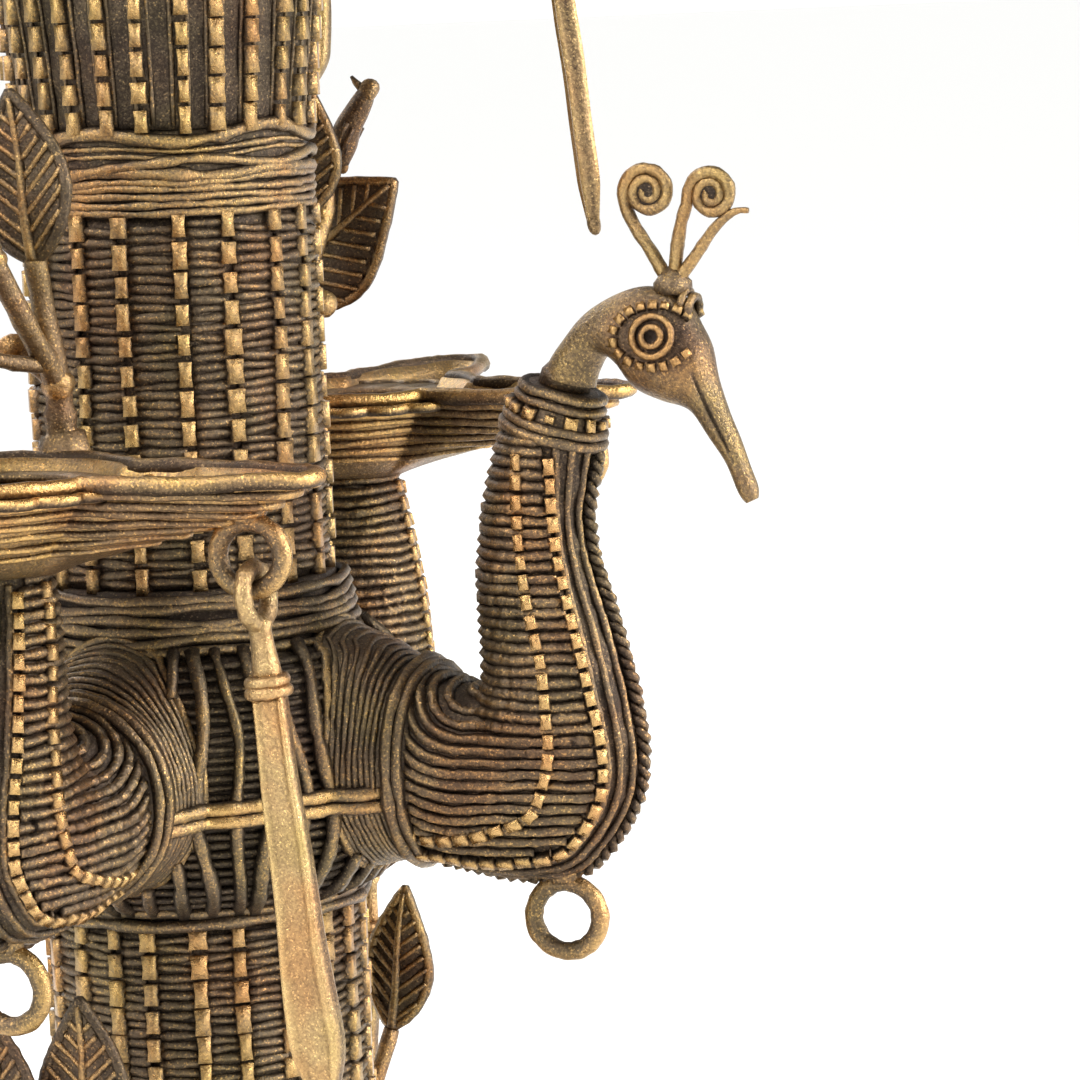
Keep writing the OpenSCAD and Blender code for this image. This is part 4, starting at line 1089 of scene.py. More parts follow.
def crest_shells(finish):
    """A crest of two curls and a plume, with its foot and the webs in the curls."""
    left = np.concatenate([curve_through([[67.6, 0, 63.6], [66.0, 0, 66.6], [63.9, 0, 69.8],
                                          [62.7, 0, 72.2]], 18), spiral(65.6, 74.2, 3.2, 2.1, 195, -1, 64)])
    right = np.concatenate([curve_through([[68.6, 0, 63.6], [69.2, 0, 67.4], [69.8, 0, 70.4],
                                           [70.6, 0, 72.6]], 18),
                            spiral(73.8, 73.7, 3.0, 2.1, 180, -1, 64)])
    plume = curve_through([[69.3, 0, 63.7], [71.4, 0, 66.2], [73.9, 0, 69.4], [75.8, 0, 71.1],
                           [77.2, 0, 71.7], [78.5, 0, 71.7]], 26)
    # The curl and plume wires take -Y as out, one fixed side, so their -Y side is a painted lit side; Least
    # keeps the other side from going dark.
    lines = [line(left, [0, -1, 0], np.linspace(0.85, 0.58, len(left))),
             line(right, [0, -1, 0], np.linspace(0.85, 0.58, len(right))),
             line(plume, [0, -1, 0], np.linspace(0.85, 0.34, 26))]
    angles = np.linspace(0, 2 * math.pi, 28, endpoint=False)
    foot = np.stack([ring(angles, r, z) + [68.4, 0, 0] for r,
                     z in ((1.15, 59.4), (1.2, 61.7), (2.4, 61.9), (2.3, 63.2), (1.4, 64.4), (0.5, 65.1))])
    webs = [knob([65.6, 0, 74.2], 2.6, 5, (1, 0.16, 1), 0.15),
            knob([73.8, 0, 73.7], 2.5, 6, (1, 0.16, 1), 0.15)]
    return webs + [threads(lines, finish, sides=10, facing_level=0.8, Least=0.6, Wander=0.00004),
                   grid_shell(foot + 0.08 * wobble(foot, 1.5, 3)[..., None], 0.5)]


class LAMP_OT_heads(bpy.types.Operator):
    """Makes the four peacock heads with ringed eyes, and their curled crests"""
    bl_idname = "lamp.heads"
    bl_label = "Heads and crests"

    def execute(self, context):
        finish = finish_named("sandy_brass")
        heads, crests = head_shells(finish), crest_shells(finish)
        for tier, waist in WAIST.items():
            for side in ("right", "left"):
                for kind, shells in (("peacock_head", heads), ("crest", crests)):
                    name = f"{tier}_{side}_{kind}"
                    build(name + "_casting", moved(shells, TURNS[side], (0, 0, waist)), "stand", finish,
                          "worn_brass", name)
        return {"FINISHED"}


# ---- oil bowls ----

BOWL_X, ARM_TOP = 49.0, 33.5  # a bowl's foot: distance from the axis, and height above the waist strip, mm
BOWL_H, CUP_R, CUP_SHIFT = 11.8, 18.0, 1.5  # height, outside radius, and the cup's step outwards, mm
SPOUT_REACH = 42.5  # from a bowl's foot to a spout's tip, mm
SPOUT_EYELET_X, SPOUT_EYELET_Z, SPOUT_EYELET_R = 34.0, ARM_TOP + 2.4, 4.1


def bowl_outline(count, inset=0.0):
    """The rim with its three spouts, as count evenly spaced points (x, y); inset moves it inwards."""
    angle = np.linspace(-math.pi, math.pi, 2401)[:-1]
    along = np.cos(angle)
    cup = CUP_R - inset
    reach = CUP_SHIFT * along + np.sqrt(cup ** 2 - (CUP_SHIFT * np.sin(angle)) ** 2)
    for spout in (-math.pi / 2, 0, math.pi / 2):
        off = np.abs((angle - spout + math.pi) % (2 * math.pi) - math.pi)
        side = (16.3 - inset * 1.1) / (np.sin(off) + 0.31 * np.cos(off))
        tip = ((SPOUT_REACH - 1.3 * inset) / np.maximum(np.cos(off), 0.1) - 22 * off ** 2
               - 60 * np.maximum(off - 0.05, 0))
        reach = np.where(off < 1.0, np.maximum(reach, np.minimum(side, np.maximum(tip, 0))), reach)
    reach = np.convolve(np.concatenate([reach[-9:], reach, reach[:9]]), np.ones(19) / 19, mode="valid")
    loop = np.stack([reach * np.cos(angle), reach * np.sin(angle)], axis=-1)
    closed = np.concatenate([loop, loop[:1]])
    run = np.concatenate([[0], np.cumsum(np.linalg.norm(np.diff(closed, axis=0), axis=1))])
    even = np.linspace(0, run[-1], count, endpoint=False)
    return np.stack([np.interp(even, run, closed[:, k]) for k in (0, 1)], axis=-1)


def bowl_level(share, rim, foot=8.0):
    """The bowl's outside at a share of the way from its foot to its rim."""
    base = foot * unit(rim)
    plan = base + (rim - base) * share
    reach = np.clip((np.linalg.norm(rim, axis=1) - 20) / 20, 0, 1)
    rise = ((1 - reach) * (0.25 * share + 0.75 * share ** 1.8)
            + reach * (0.74 * share ** 0.9 + 0.26 * share ** 9))
    return np.concatenate([plan, (BOWL_H * rise)[:, None]], axis=1)


def bowl_shells(finish, seed):
    """A boat-shaped bowl with three spouts, in its own frame with the foot at the origin."""
    count = 260
    rim = bowl_outline(count)
    inside = bowl_outline(count, 1.5)
    rows = [bowl_level(0.0, rim) * [0.45, 0.45, 0]]
    rows += [bowl_level(s, rim) for s in np.linspace(0, 1, 22)]
    for s in np.linspace(1, 0.1, 16):
        inner = bowl_level(s, inside, 6.0)
        inner[:, 2] = 2.3 + inner[:, 2] * (BOWL_H - 2.3) / BOWL_H
        rows.append(inner)
    points = np.stack(rows)
    points[..., 2] += 0.12 * wobble(points, 4, seed)
    points[..., :2] *= (1 + 0.006 * wobble(points, 5, seed + 1))[..., None]
    wear = np.concatenate([[0.3], np.linspace(0.35, 0.65, 22), np.linspace(0.6, 0.35, 16)])[:, None]
    shells = [grid_shell(points, np.broadcast_to(wear, points.shape[:2]))]
    wires, edges = [], []
    for share, thread in ((1.0, 1.08), (0.93, 0.66), (0.86, 0.6), (0.79, 0.58), (0.71, 0.55), (0.62, 0.52),
                          (0.52, 0.5), (0.4, 0.45)):
        spots = bowl_level(share, rim)
        spots[:, 2] += 0.1 * wobble(spots, 5, seed + int(share * 90)) - (0.3 if share == 1.0 else 0)
        away = np.concatenate([unit(rim), np.full((count, 1), 0.6 if share == 1.0 else -0.45)], axis=1)
        (edges if share == 1.0
         else wires).append(line(spots, away, thread * (1 + 0.1 * wobble(spots, 6, 4)), closed=True))
    plate_rows = []
    angle = np.linspace(0, 2 * math.pi, 200, endpoint=False)
    scallop = np.abs(np.sin(angle * 11)) ** 0.6
    edge = CUP_R + 0.8 + 1.9 * scallop
    lobe = np.abs(angle - math.pi)
    edge = np.where(lobe < 0.26, np.maximum(edge, 27.2 - 14 * lobe ** 2), edge)
    for radius, z in ((12, 9.5), (edge, 9.45), (edge + 0.15, 9.95), (edge, 10.45), (12, 10.3)):
        plate_rows.append(ring(angle, radius, z) + [CUP_SHIFT, 0, 0])
    plate = np.stack(plate_rows)
    shells.append(grid_shell(plate, np.broadcast_to(np.array([0.2, 0.4, 0.7, 0.5, 0.3])[:, None],
                                                    plate.shape[:2]), loop=True))
    spots = ring(angle, edge + 0.1, 10.2) + [CUP_SHIFT, 0, 0]
    edges.append(line(spots, ring(angle, 0.6, 0.8), 0.7, closed=True))
    shells += [threads(wires, finish, sides=8, seed=seed, facing_level=0.75, Wander=0.00006),
               threads(edges, finish, sides=10, seed=seed, facing_level=1.0, Wander=0.00006, Unevenness=0.1)]
    circle = np.linspace(0, 2 * math.pi, 32, endpoint=False)
    shells.append(grid_shell(np.stack([ring(circle, r, z) for r,
                                       z in ((2.95, -4.7), (2.95, 0.2), (6.5, 0.02), (6.5, 1.2),
                                             (3, 1.4))]), 0.3))
    return shells


class LAMP_OT_bowls(bpy.types.Operator):
    """Makes the four oil bowls with their spouts and petal flanges, and the eyelets under the spouts"""
    bl_idname = "lamp.bowls"
    bl_label = "Oil bowls"

    def execute(self, context):
        finish, hooks = finish_named("ladle_brass"), finish_named("wound_brass")
        shells = bowl_shells(finish, 301)
        for tier, waist in WAIST.items():
            for side, way in (("front", -1), ("rear", 1)):
                name = f"{tier}_{side}_bowl"
                there = moved(moved(shells, 0, (BOWL_X, 0, ARM_TOP + 0.05)), TURNS[side], (0, 0, waist))
                build(name + "_casting", there, "stand", finish, "brown_brass", name)
                rings = []
                for x in (-SPOUT_EYELET_X, SPOUT_EYELET_X):
                    rings += eyelet(np.array([x, way * BOWL_X, waist + SPOUT_EYELET_Z]), SPOUT_EYELET_R,
                                    hooks, 400 + x, stub=2.6)
                build(f"{tier}_{side}_spout_eyelets_casting", rings, "stand", hooks, "worn_brass",
                      f"{tier}_{side}_spout_eyelets")
        return {"FINISHED"}


# ---- branches, leaves and birds ----

def leaf_shells(length, width, veins, finish, seed):
    """A pointed leaf that stands in the XZ plane, with a raised rim, a midrib and slanting veins."""
    m, n = 30, 20
    t = np.linspace(0.01, 0.995, m)
    half = width / 2 * np.sin(math.pi * t ** 0.8)
    around = np.linspace(0, 2 * math.pi, n, endpoint=False)
    x = half[:, None] * np.cos(around)[None]
    z = np.broadcast_to((length * t)[:, None], (m, n))
    cup = 0.5 * (x / width * 2) ** 2 + 0.35 * np.sin(2.2 * math.pi * t)[:, None]
    y = 0.55 * np.sin(around)[None] + cup
    body = np.stack([x, y, z], axis=-1)
    body[..., 1] += 0.12 * wobble(body, 3, seed)
    shells = [grid_shell(body, 0.3)]
    bow = lambda px, pz: 0.5 * (px / width * 2) ** 2 + 0.35 * np.sin(2.2 * math.pi * pz / length)
    wires = []
    side = np.concatenate([np.stack([half, z[:, 0]], axis=-1),
                           np.stack([-half[::-1], z[::-1, 0]], axis=-1)])
    rim = np.stack([side[:, 0], bow(side[:, 0], side[:, 1]), side[:, 1]], axis=-1)
    # The rim takes -Y as out, one fixed side, so its -Y side is a painted lit side.
    wires.append(line(rim, [0, -1, 0], 0.75, closed=True))
    for face in (-1, 1):
        pz = np.linspace(0.01, 0.97, 16) * length
        rib = np.stack([0 * pz, bow(0, pz) + face * 0.5, pz], axis=-1)
        wires.append(line(rib, [0, face, 0], np.linspace(0.85, 0.45, 16)))
        for k in range(veins):
            for way in (-1, 1):
                start = (0.05 + 0.86 * k / veins) * length
                reach = np.linspace(0.03, 1, 9) * width * 0.62
                px, pz = way * reach * 0.78, start + reach * 0.72
                inside = np.interp(pz, z[:, 0], half) > np.abs(px) - 0.1
                px, pz = px[inside], pz[inside]
                if len(px) > 2:
                    wires.append(line(np.stack([px, bow(px, pz) + face * 0.42, pz], axis=-1), [0, face, 0],
                                      0.42))
    return shells + [threads(wires, finish, seed=seed, facing_level=0.75, Least=0.3, Wander=0.00004)]


def tilted(shells, lean, turn, shift):
    """Shells leant towards +X by lean degrees, turned about Z, then put in place."""
    c, s = math.cos(math.radians(lean)), math.sin(math.radians(lean))
    lean_x = lambda p: np.stack([p[:, 0] * c + p[:, 2] * s, p[:, 1], -p[:, 0] * s + p[:, 2] * c], axis=-1)
    return [(placed(lean_x(p), turn, shift), *rest) for p, *rest in shells]


def twig(points, start, end, bend=0.0, count=14):
    """A guide for a twig that tapers from start to end radius."""
    route = curve_through(points, count)
    route[1:-1, 0] += bend * np.sin(np.linspace(0, math.pi, count))[1:-1]
    # Out is one fixed direction, mostly -Y and a little up and +X, so that side of every twig is a painted
    # lit side.
    return line(route, [0.3, -1, 0.3], np.linspace(start, end, count))


def knob(centre, radius, seed, stretch=(1, 1, 1), wear=0.6):
    """A small lump of cast brass."""
    rise = np.linspace(-0.98, 0.98, 9) * math.pi / 2
    circle = np.linspace(0, 2 * math.pi, 16, endpoint=False)
    points = np.stack([ring(circle, math.cos(a), math.sin(a)) for a in rise]) * radius * np.array(stretch)
    points *= (1 + 0.12 * wobble(points, 1.5, seed))[..., None]
    return grid_shell(points + np.array(centre), wear)


BRANCH_Y, BRANCH_FOOT_Z = 30.0, 44.2  # a branch's foot: from the axis, and above the waist strip, mm


def branch_shells(finish, leaf_x):
    """A forked branch with its foot, at the rear of a tier; leaf_x is its broad leaf's place."""
    fork = [0, BRANCH_Y + 1, 54]
    rods = [twig([[0, BRANCH_Y, BRANCH_FOOT_Z + 1.2], [0.2, BRANCH_Y + 0.4, 49], fork, [0, 33.2, 62],
                  [0, 35, 69.6]], 2.1, 1.3, 0.15, 22),
            twig([fork, [0.4, 36.5, 61], [1.5, 42, 70], [1.6, 42.8, 76], [1.5, 43, 82]], 1.5, 1.15, 0.1,
                 22), twig([fork, [2.6, 32, 56.4], [5.2, 33, 58.5]], 1.15, 1.0),
            twig([[0.3, 32.6, 56.6], [0.5 * leaf_x, 38, 57.2], [leaf_x + 0.2, 44.6, 59]], 1.05, 0.9)]
    circle = np.linspace(0, 2 * math.pi, 24, endpoint=False)
    foot = np.stack([ring(circle, r, z) + [0, BRANCH_Y, BRANCH_FOOT_Z] for r, z in
                     ((3.1, 0.1), (3.3, 0.9), (2.9, 2.2), (2.2, 4.0), (1.2, 4.4))])
    foot += 0.22 * wobble(foot, 2, 6)[..., None] * np.array([1, 1, 0])
    return [threads(rods, finish, sides=12, Least=0.35, Wander=0.00012), grid_shell(foot, 0.4),
            knob([5.2, 33, 58.5], 1.8, 3), knob(fork, 2.1, 4), knob([1.5, 42, 70], 1.5, 5)]


BIRD = [[-0.6, -3.8, 0.6, -3.6, 0.7], [-1.6, -2, 1.6, -1.6, 1.5], [-1.6, 1.4, 2.6, 0.8, 1.6],
        [0.6, 4.4, 3.8, 3, 1.5], [2.6, 6.6, 4.8, 5.4, 1.3], [3.4, 7.6, 4.6, 8, 0.6]]


def bird_shells(finish):
    """A small perched bird, tail down, with a raised beak and wing ridges, around its own middle."""
    points, _, _ = sliced(BIRD, 30, 22)
    points += 0.12 * wobble(points, 1.6, 3)[..., None]
    wires = []
    for side in (-1, 1):
        wires.append(line([[-0.4, 1.35 * side, -2], [0.2, 1.6 * side, 0], [1.4, 1.55 * side, 2.2]],
                          [0, side, 0], 0.4))
        wires.append(line([[0.5, 1.35 * side, -2], [1.1, 1.5 * side, -0.4], [2.2, 1.4 * side, 1.4]],
                          [0, side, 0], 0.35))
    # The beak wire takes -Y as out, one fixed side, so its -Y side is a painted lit side.
    wires.append(line([[3.2, 0, 6.6], [2.2, 0, 7.6], [1.6, 0, 8.4]], [0, -1, 0],
                      np.array([0.7, 0.5, 0.25])))
    return [grid_shell(points, 0.45), knob([4.1, 0, 6.6], 1.5, 8, (1, 0.9, 1)),
            knob([-0.3, 0, -3.4], 0.9, 9, (1, 0.6, 1.5)), threads(wires, finish, sides=8, Wander=0.00002)]


class LAMP_OT_branches(bpy.types.Operator):
    """Makes the branches with their leaves and birds, on the bowls and on the lower trunk"""
    bl_idname = "lamp.branches"
    bl_label = "Branches"

    def execute(self, context):
        bark, blade = finish_named("ladle_brass"), finish_named("wound_brass")
        bird = bird_shells(blade)
        upright = leaf_shells(20.5, 12, 8, blade, 21)
        broad = leaf_shells(25, 16.5, 8, blade, 22)
        for side, turn, leaf_x in (("front", 180, 3.5), ("rear", 0, -9.3)):
            branch = branch_shells(bark, leaf_x)
            leaves = tilted(upright, 6, 0, (0, 35, 69.2)) + tilted(broad, 53, 0, (leaf_x, 45.5, 59))
            for tier, waist in WAIST.items():
                lift = (0, 0, waist)
                build(f"{tier}_{side}_branch_casting", moved(branch, turn, lift), "stand", bark,
                      "brown_brass", f"{tier}_{side}_branch")
                build(f"{tier}_{side}_leaves_casting", moved(leaves, turn, lift), "stand", blade,
                      "worn_brass", f"{tier}_{side}_leaves")
                perched = moved(moved(bird, 0, (4.6, 43, 80.2)), turn, lift)
                build(f"{tier}_{side}_bird_casting", perched, "stand", blade, "worn_brass",
                      f"{tier}_{side}_bird")
        self.on_trunk(bark, blade)
        return {"FINISHED"}

    def on_trunk(self, bark, blade):
        """The two branches that stand on the lower trunk."""
        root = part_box("lower_trunk")[1].y / MM
        height = WAIST["lower"] - 76
        rods = [twig([[0, root + 1, 0], [0, root + 6, 2.6], [0, 32.6, 7.6], [0, 34.4, 12], [0, 34.4, 33.4]],
                     1.9, 1.3, 0.2, 24),
                twig([[0, 34.4, 10], [2.6, 35.8, 18], [7.4, 39, 32.8]], 1.4, 1.1, 0.4)]
        circle = np.linspace(0, 2 * math.pi, 24, endpoint=False)
        collar = np.stack([np.stack([r * np.cos(circle), np.full(24, y), r * np.sin(circle)], axis=-1)
                           for r, y in ((3.9, root + 0.2), (3.6, root + 1), (2.4, root + 2.2),
                                        (1.7, root + 3.4))])
        branch = [threads(rods, bark, sides=12, Least=0.35), grid_shell(collar, 0.4),
                  knob([0, 34.2, 10], 1.8, 3)]
        leaves = (tilted(leaf_shells(21, 11.5, 8, blade, 31), 0, 0, (0, 34.4, 33.2))
                  + tilted(leaf_shells(20, 9, 8, blade, 32), 8, 0, (7.6, 39, 33)))
        for side, turn in (("front", 180), ("rear", 0)):
            build(f"trunk_{side}_branch_casting", moved(branch, turn, (0, 0, height)), "stand", bark,
                  "brown_brass", f"trunk_{side}_branch")
            build(f"trunk_{side}_leaves_casting", moved(leaves, turn, (0, 0, height)), "stand", blade,
                  "worn_brass", f"trunk_{side}_leaves")


# ---- pendants ----

LOOP_R, LOOP_WIRE = 2.1, 1.1  # a bar's loop: inside radius and wire radius, mm
SWING_GAP = 0.35  # slack between loop and eyelet, mm
LONG_BAR, SHORT_BAR = 50, 34  # a bar below its collar, mm


def pendant_shells(eyelet_r, slant, bar, finish, seed, twist):
    """A bar on its wire loop, hanging from an eyelet at the origin; twist turns it about its length."""
    loop_z = -eyelet_r + EYELET_WIRE + SWING_GAP - LOOP_R
    neck_z = loop_z - LOOP_R - 2 * LOOP_WIRE + 0.5
    collar_z = neck_z - 6.5
    angles = np.linspace(0, 2 * math.pi, 40, endpoint=False)
    reach = LOOP_R + LOOP_WIRE
    loop = np.stack([0 * angles, reach * np.cos(angles), loop_z + reach * np.sin(angles)], axis=-1)
    wires = [line(loop, np.stack([0 * angles, np.cos(angles), np.sin(angles)], axis=-1), LOOP_WIRE,
                  closed=True),
             line(ring(angles, 2.0, collar_z + 0.35), ring(angles, 1, 0), 0.75, closed=True),
             line(ring(angles, 2.1, collar_z - 0.85), ring(angles, 1, 0), 0.75, closed=True)]
    around = np.linspace(0, 2 * math.pi, 24, endpoint=False)
    neck = np.stack([np.stack([w * np.cos(around), d * np.sin(around), np.full(24, z)], axis=-1) for w, d,
                     z in ((1.9, 1.6, collar_z), (1.75, 1.4, collar_z + 2), (1.4, 1.3, collar_z + 4.4),
                           (1.35, 1.35, neck_z - 0.1), (1.7, 1.2, neck_z + 0.7), (0.8, 0.8, neck_z + 1.5))])
    # A quarter of the bar's section, from the front's middle to the side: share of width and of depth.
    profile = np.array([[0, 0.62], [0.34, 0.6], [0.56, 0.66], [0.72, 1.0], [0.9, 0.96], [1.0, 0.5],
                        [1.0, 0]])
    quarter = np.concatenate([profile, profile[-2::-1] * [1, -1]])
    full = np.concatenate([quarter, quarter[-2:0:-1] * [-1, 1]])
    rows, wear = [], []
    top = collar_z - 1.2
    low = collar_z - 1.6 - bar
    for share in np.linspace(0, 1, 46):
        z = top + (low + 1.6 - top) * share
        taper = 1 if share < 0.84 else max(0.24, 1 - ((share - 0.84) / 0.16) ** 1.5 * 0.76)
        half = (2.0 + 1.2 * min(1, share / 0.82)) * taper
        depth = 1.25 * (1 if share < 0.9 else 1 - 0.45 * (share - 0.9) / 0.1)
        bow = 0.5 * math.sin(share * math.pi) * (1 if seed % 2 else -1)
        rows.append(np.stack([full[:, 0] * half, full[:, 1] * depth + bow * 0.5, np.full(len(full), z)],
                             axis=-1))
        flank = np.where(np.abs(full[:, 0]) > 0.95, 0.6, 1)
        wear.append(0.25 + 0.55 * np.clip(np.abs(full[:, 1]), 0, 1) * flank)
    blade = np.stack(rows)
    blade = placed(blade + 0.14 * wobble(blade, 7, seed)[..., None] * np.array([1, 0.6, 0]), twist)
    tilt = math.radians(slant)
    shells = [threads(wires, finish, sides=14, seed=seed, Least=0.4, Wander=0.00005),
              grid_shell(neck + 0.08 * wobble(neck, 2, seed)[..., None], 0.6),
              grid_shell(blade, np.array(wear)), knob([0, 0, low + 1.5], 0.95, seed, (1, 0.9, 1.4), 0.35)]
    c, s = math.cos(tilt), math.sin(tilt)
    turn = lambda p: np.stack([p[:, 0] * c + p[:, 2] * s, p[:, 1], -p[:, 0] * s + p[:, 2] * c], axis=-1)
    return [(turn(p), *rest) for p, *rest in shells]


class LAMP_OT_pendants(bpy.types.Operator):
    """Makes the six bar pendants that swing from the eyelets"""
    bl_idname = "lamp.pendants"
    bl_label = "Pendants"

    def execute(self, context):
        finish = finish_named("bar_brass")
        low, high = WAIST["lower"], WAIST["upper"]
        spout, spout_z, chest, chest_z = (SPOUT_EYELET_X, low + SPOUT_EYELET_Z, CHEST_EYELET_X,
                                          CHEST_EYELET_Z)
        # Where each bar hangs, its eyelet's radius, slant in degrees, length and twist in degrees.
        hung = {"front_spout": ((spout, -BOWL_X, spout_z), SPOUT_EYELET_R, -5.6, LONG_BAR, 0),
                "rear_spout": ((-spout, BOWL_X, spout_z), SPOUT_EYELET_R, 5.6, LONG_BAR, 0),
                "rear_chest": ((0, chest, low + chest_z), CHEST_EYELET_R, 5.6, LONG_BAR, 0),
                "right_peacock": ((chest, 0, high + chest_z), CHEST_EYELET_R, -6.5, LONG_BAR, -62),
                "left_peacock": ((-chest, 0, high + chest_z), CHEST_EYELET_R, 6.5, LONG_BAR, 0),
                "upper_rear": ((0, chest, high + chest_z), CHEST_EYELET_R, 5.6, SHORT_BAR, 0)}
        for number, (name, (place, radius, slant, bar, twist)) in enumerate(hung.items()):
            shells = pendant_shells(radius, slant, bar, finish, 500 + number, twist)
            node = name + "_pendant"
            build(node + "_bar", moved(shells, 0, place), node, finish, "bright_brass", node)
        return {"FINISHED"}


# ---- foot and crown ----

def radial_petals(count, rows, size):
    """Pointed petal outlines on a turned surface; rows give radius and height from root to tip."""
    lines = []
    route = curve_through(rows, 15)
    for k in range(count):
        middle = 2 * math.pi * k / count
        spread = math.pi / count * np.sin(np.linspace(0.12, 1, 15) * math.pi) ** 0.7
        for side in (-1, 1):
            spots = ring(middle + side * spread, route[:, 0], route[:, 1])
            lines.append(line(spots, ring(middle + side * spread, 0.7, 0.7), size))
        lines.append(line(ring(np.full(13, middle), route[1:-1, 0], route[1:-1, 1] + 0.1),
                          ring(np.full(13, middle), 0.7, 0.7), size * 0.8))
    return lines


class LAMP_OT_foot(bpy.types.Operator):
    """Makes the domed foot with its wound wires, petals and beads"""
    bl_idname = "lamp.foot"
    bl_label = "Foot"

    def execute(self, context):
        finish = finish_named("patina_brass")
        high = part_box("base_foot")[1]
        radius, height = high.x / MM, high.z / MM
        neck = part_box("lower_trunk")[1].y / MM + 5
        dome = [[neck + 1 + (radius - 6 - neck) * (k / 20) ** 1.9,
                 height - 5 - (height - 15) * math.sin(math.pi / 2 * k / 20)] for k in range(21)]
        surface = ([[5, height - 0.6], [neck - 3, height - 0.3], [neck, height - 1.2]] + dome
                   + [[radius - 4, 9], [radius, 6], [radius, 0.05]])
        under = ([[radius - 8, 0.05], [radius - 8, 5]]
                 + [[max(r - 4.5, 5), z - 4] for r, z in reversed(dome[:18])] + [[5, height - 4]])
        shells = [turned(subdivided(surface + under, 1.6), 150, rough=0.05, size=4, seed=71, wear=0.15)]
        wires = [hoop(neck + 0.6, height - 1.4, 0.9, seed=1), hoop(neck + 1.0, height - 3.2, 0.85, seed=2),
                 hoop(radius - 0.6, 6.3, 0.9, count=140, seed=3),
                 hoop(radius - 0.3, 3.9, 0.8, count=140, seed=4),
                 hoop(radius - 0.3, 2.0, 0.8, count=140, seed=5),
                 hoop(radius - 3.4, 9.3, 0.8, count=140, seed=6)]
        profile = np.array(dome)
        run = np.concatenate([[0], np.cumsum(np.linalg.norm(np.diff(profile, axis=0), axis=1))])
        for spot in np.arange(1.5, run[-1], 1.55):
            r, z = np.interp(spot, run, profile[:, 0]), np.interp(spot, run, profile[:, 1])
            wires.append(hoop(r - 0.15, z, 0.58, count=int(60 + r), seed=int(spot * 9), wander=0.2))
        lift = profile[2:] + 0.75
        petals = radial_petals(16, lift[::3], 0.85)
        rows = [hoop(radius - 1.7, 8.0, 2.4, count=140), hoop(neck + 2.0, height - 5.4, 2.2)]
        shells += [threads(wires + petals, finish, seed=12), beads(rows, finish, 3.1, 2.2, 1.6, seed=4)]
        build("base_foot_casting", shells, "stand", finish, "dark_brass", "base_foot")
        return {"FINISHED"}


FINIAL = [
    [-7, 20.5, -6, 16.5, 4], [-2, 24.5, -1.5, 13.2, 6.4], [3, 26, 4.5, 12.6, 7.2], [6, 28, 10, 17, 6],
    [6.6, 32, 12, 24, 4.6], [6, 38, 11, 34, 3.6], [6.4, 43, 11, 41, 3.4], [8, 47.6, 12.4, 42.6, 3.6],
    [12, 49.4, 13.6, 41.4, 3.8], [16, 45.4, 15, 40.6, 2.4], [19.4, 40, 18.2, 38.8, 1]]


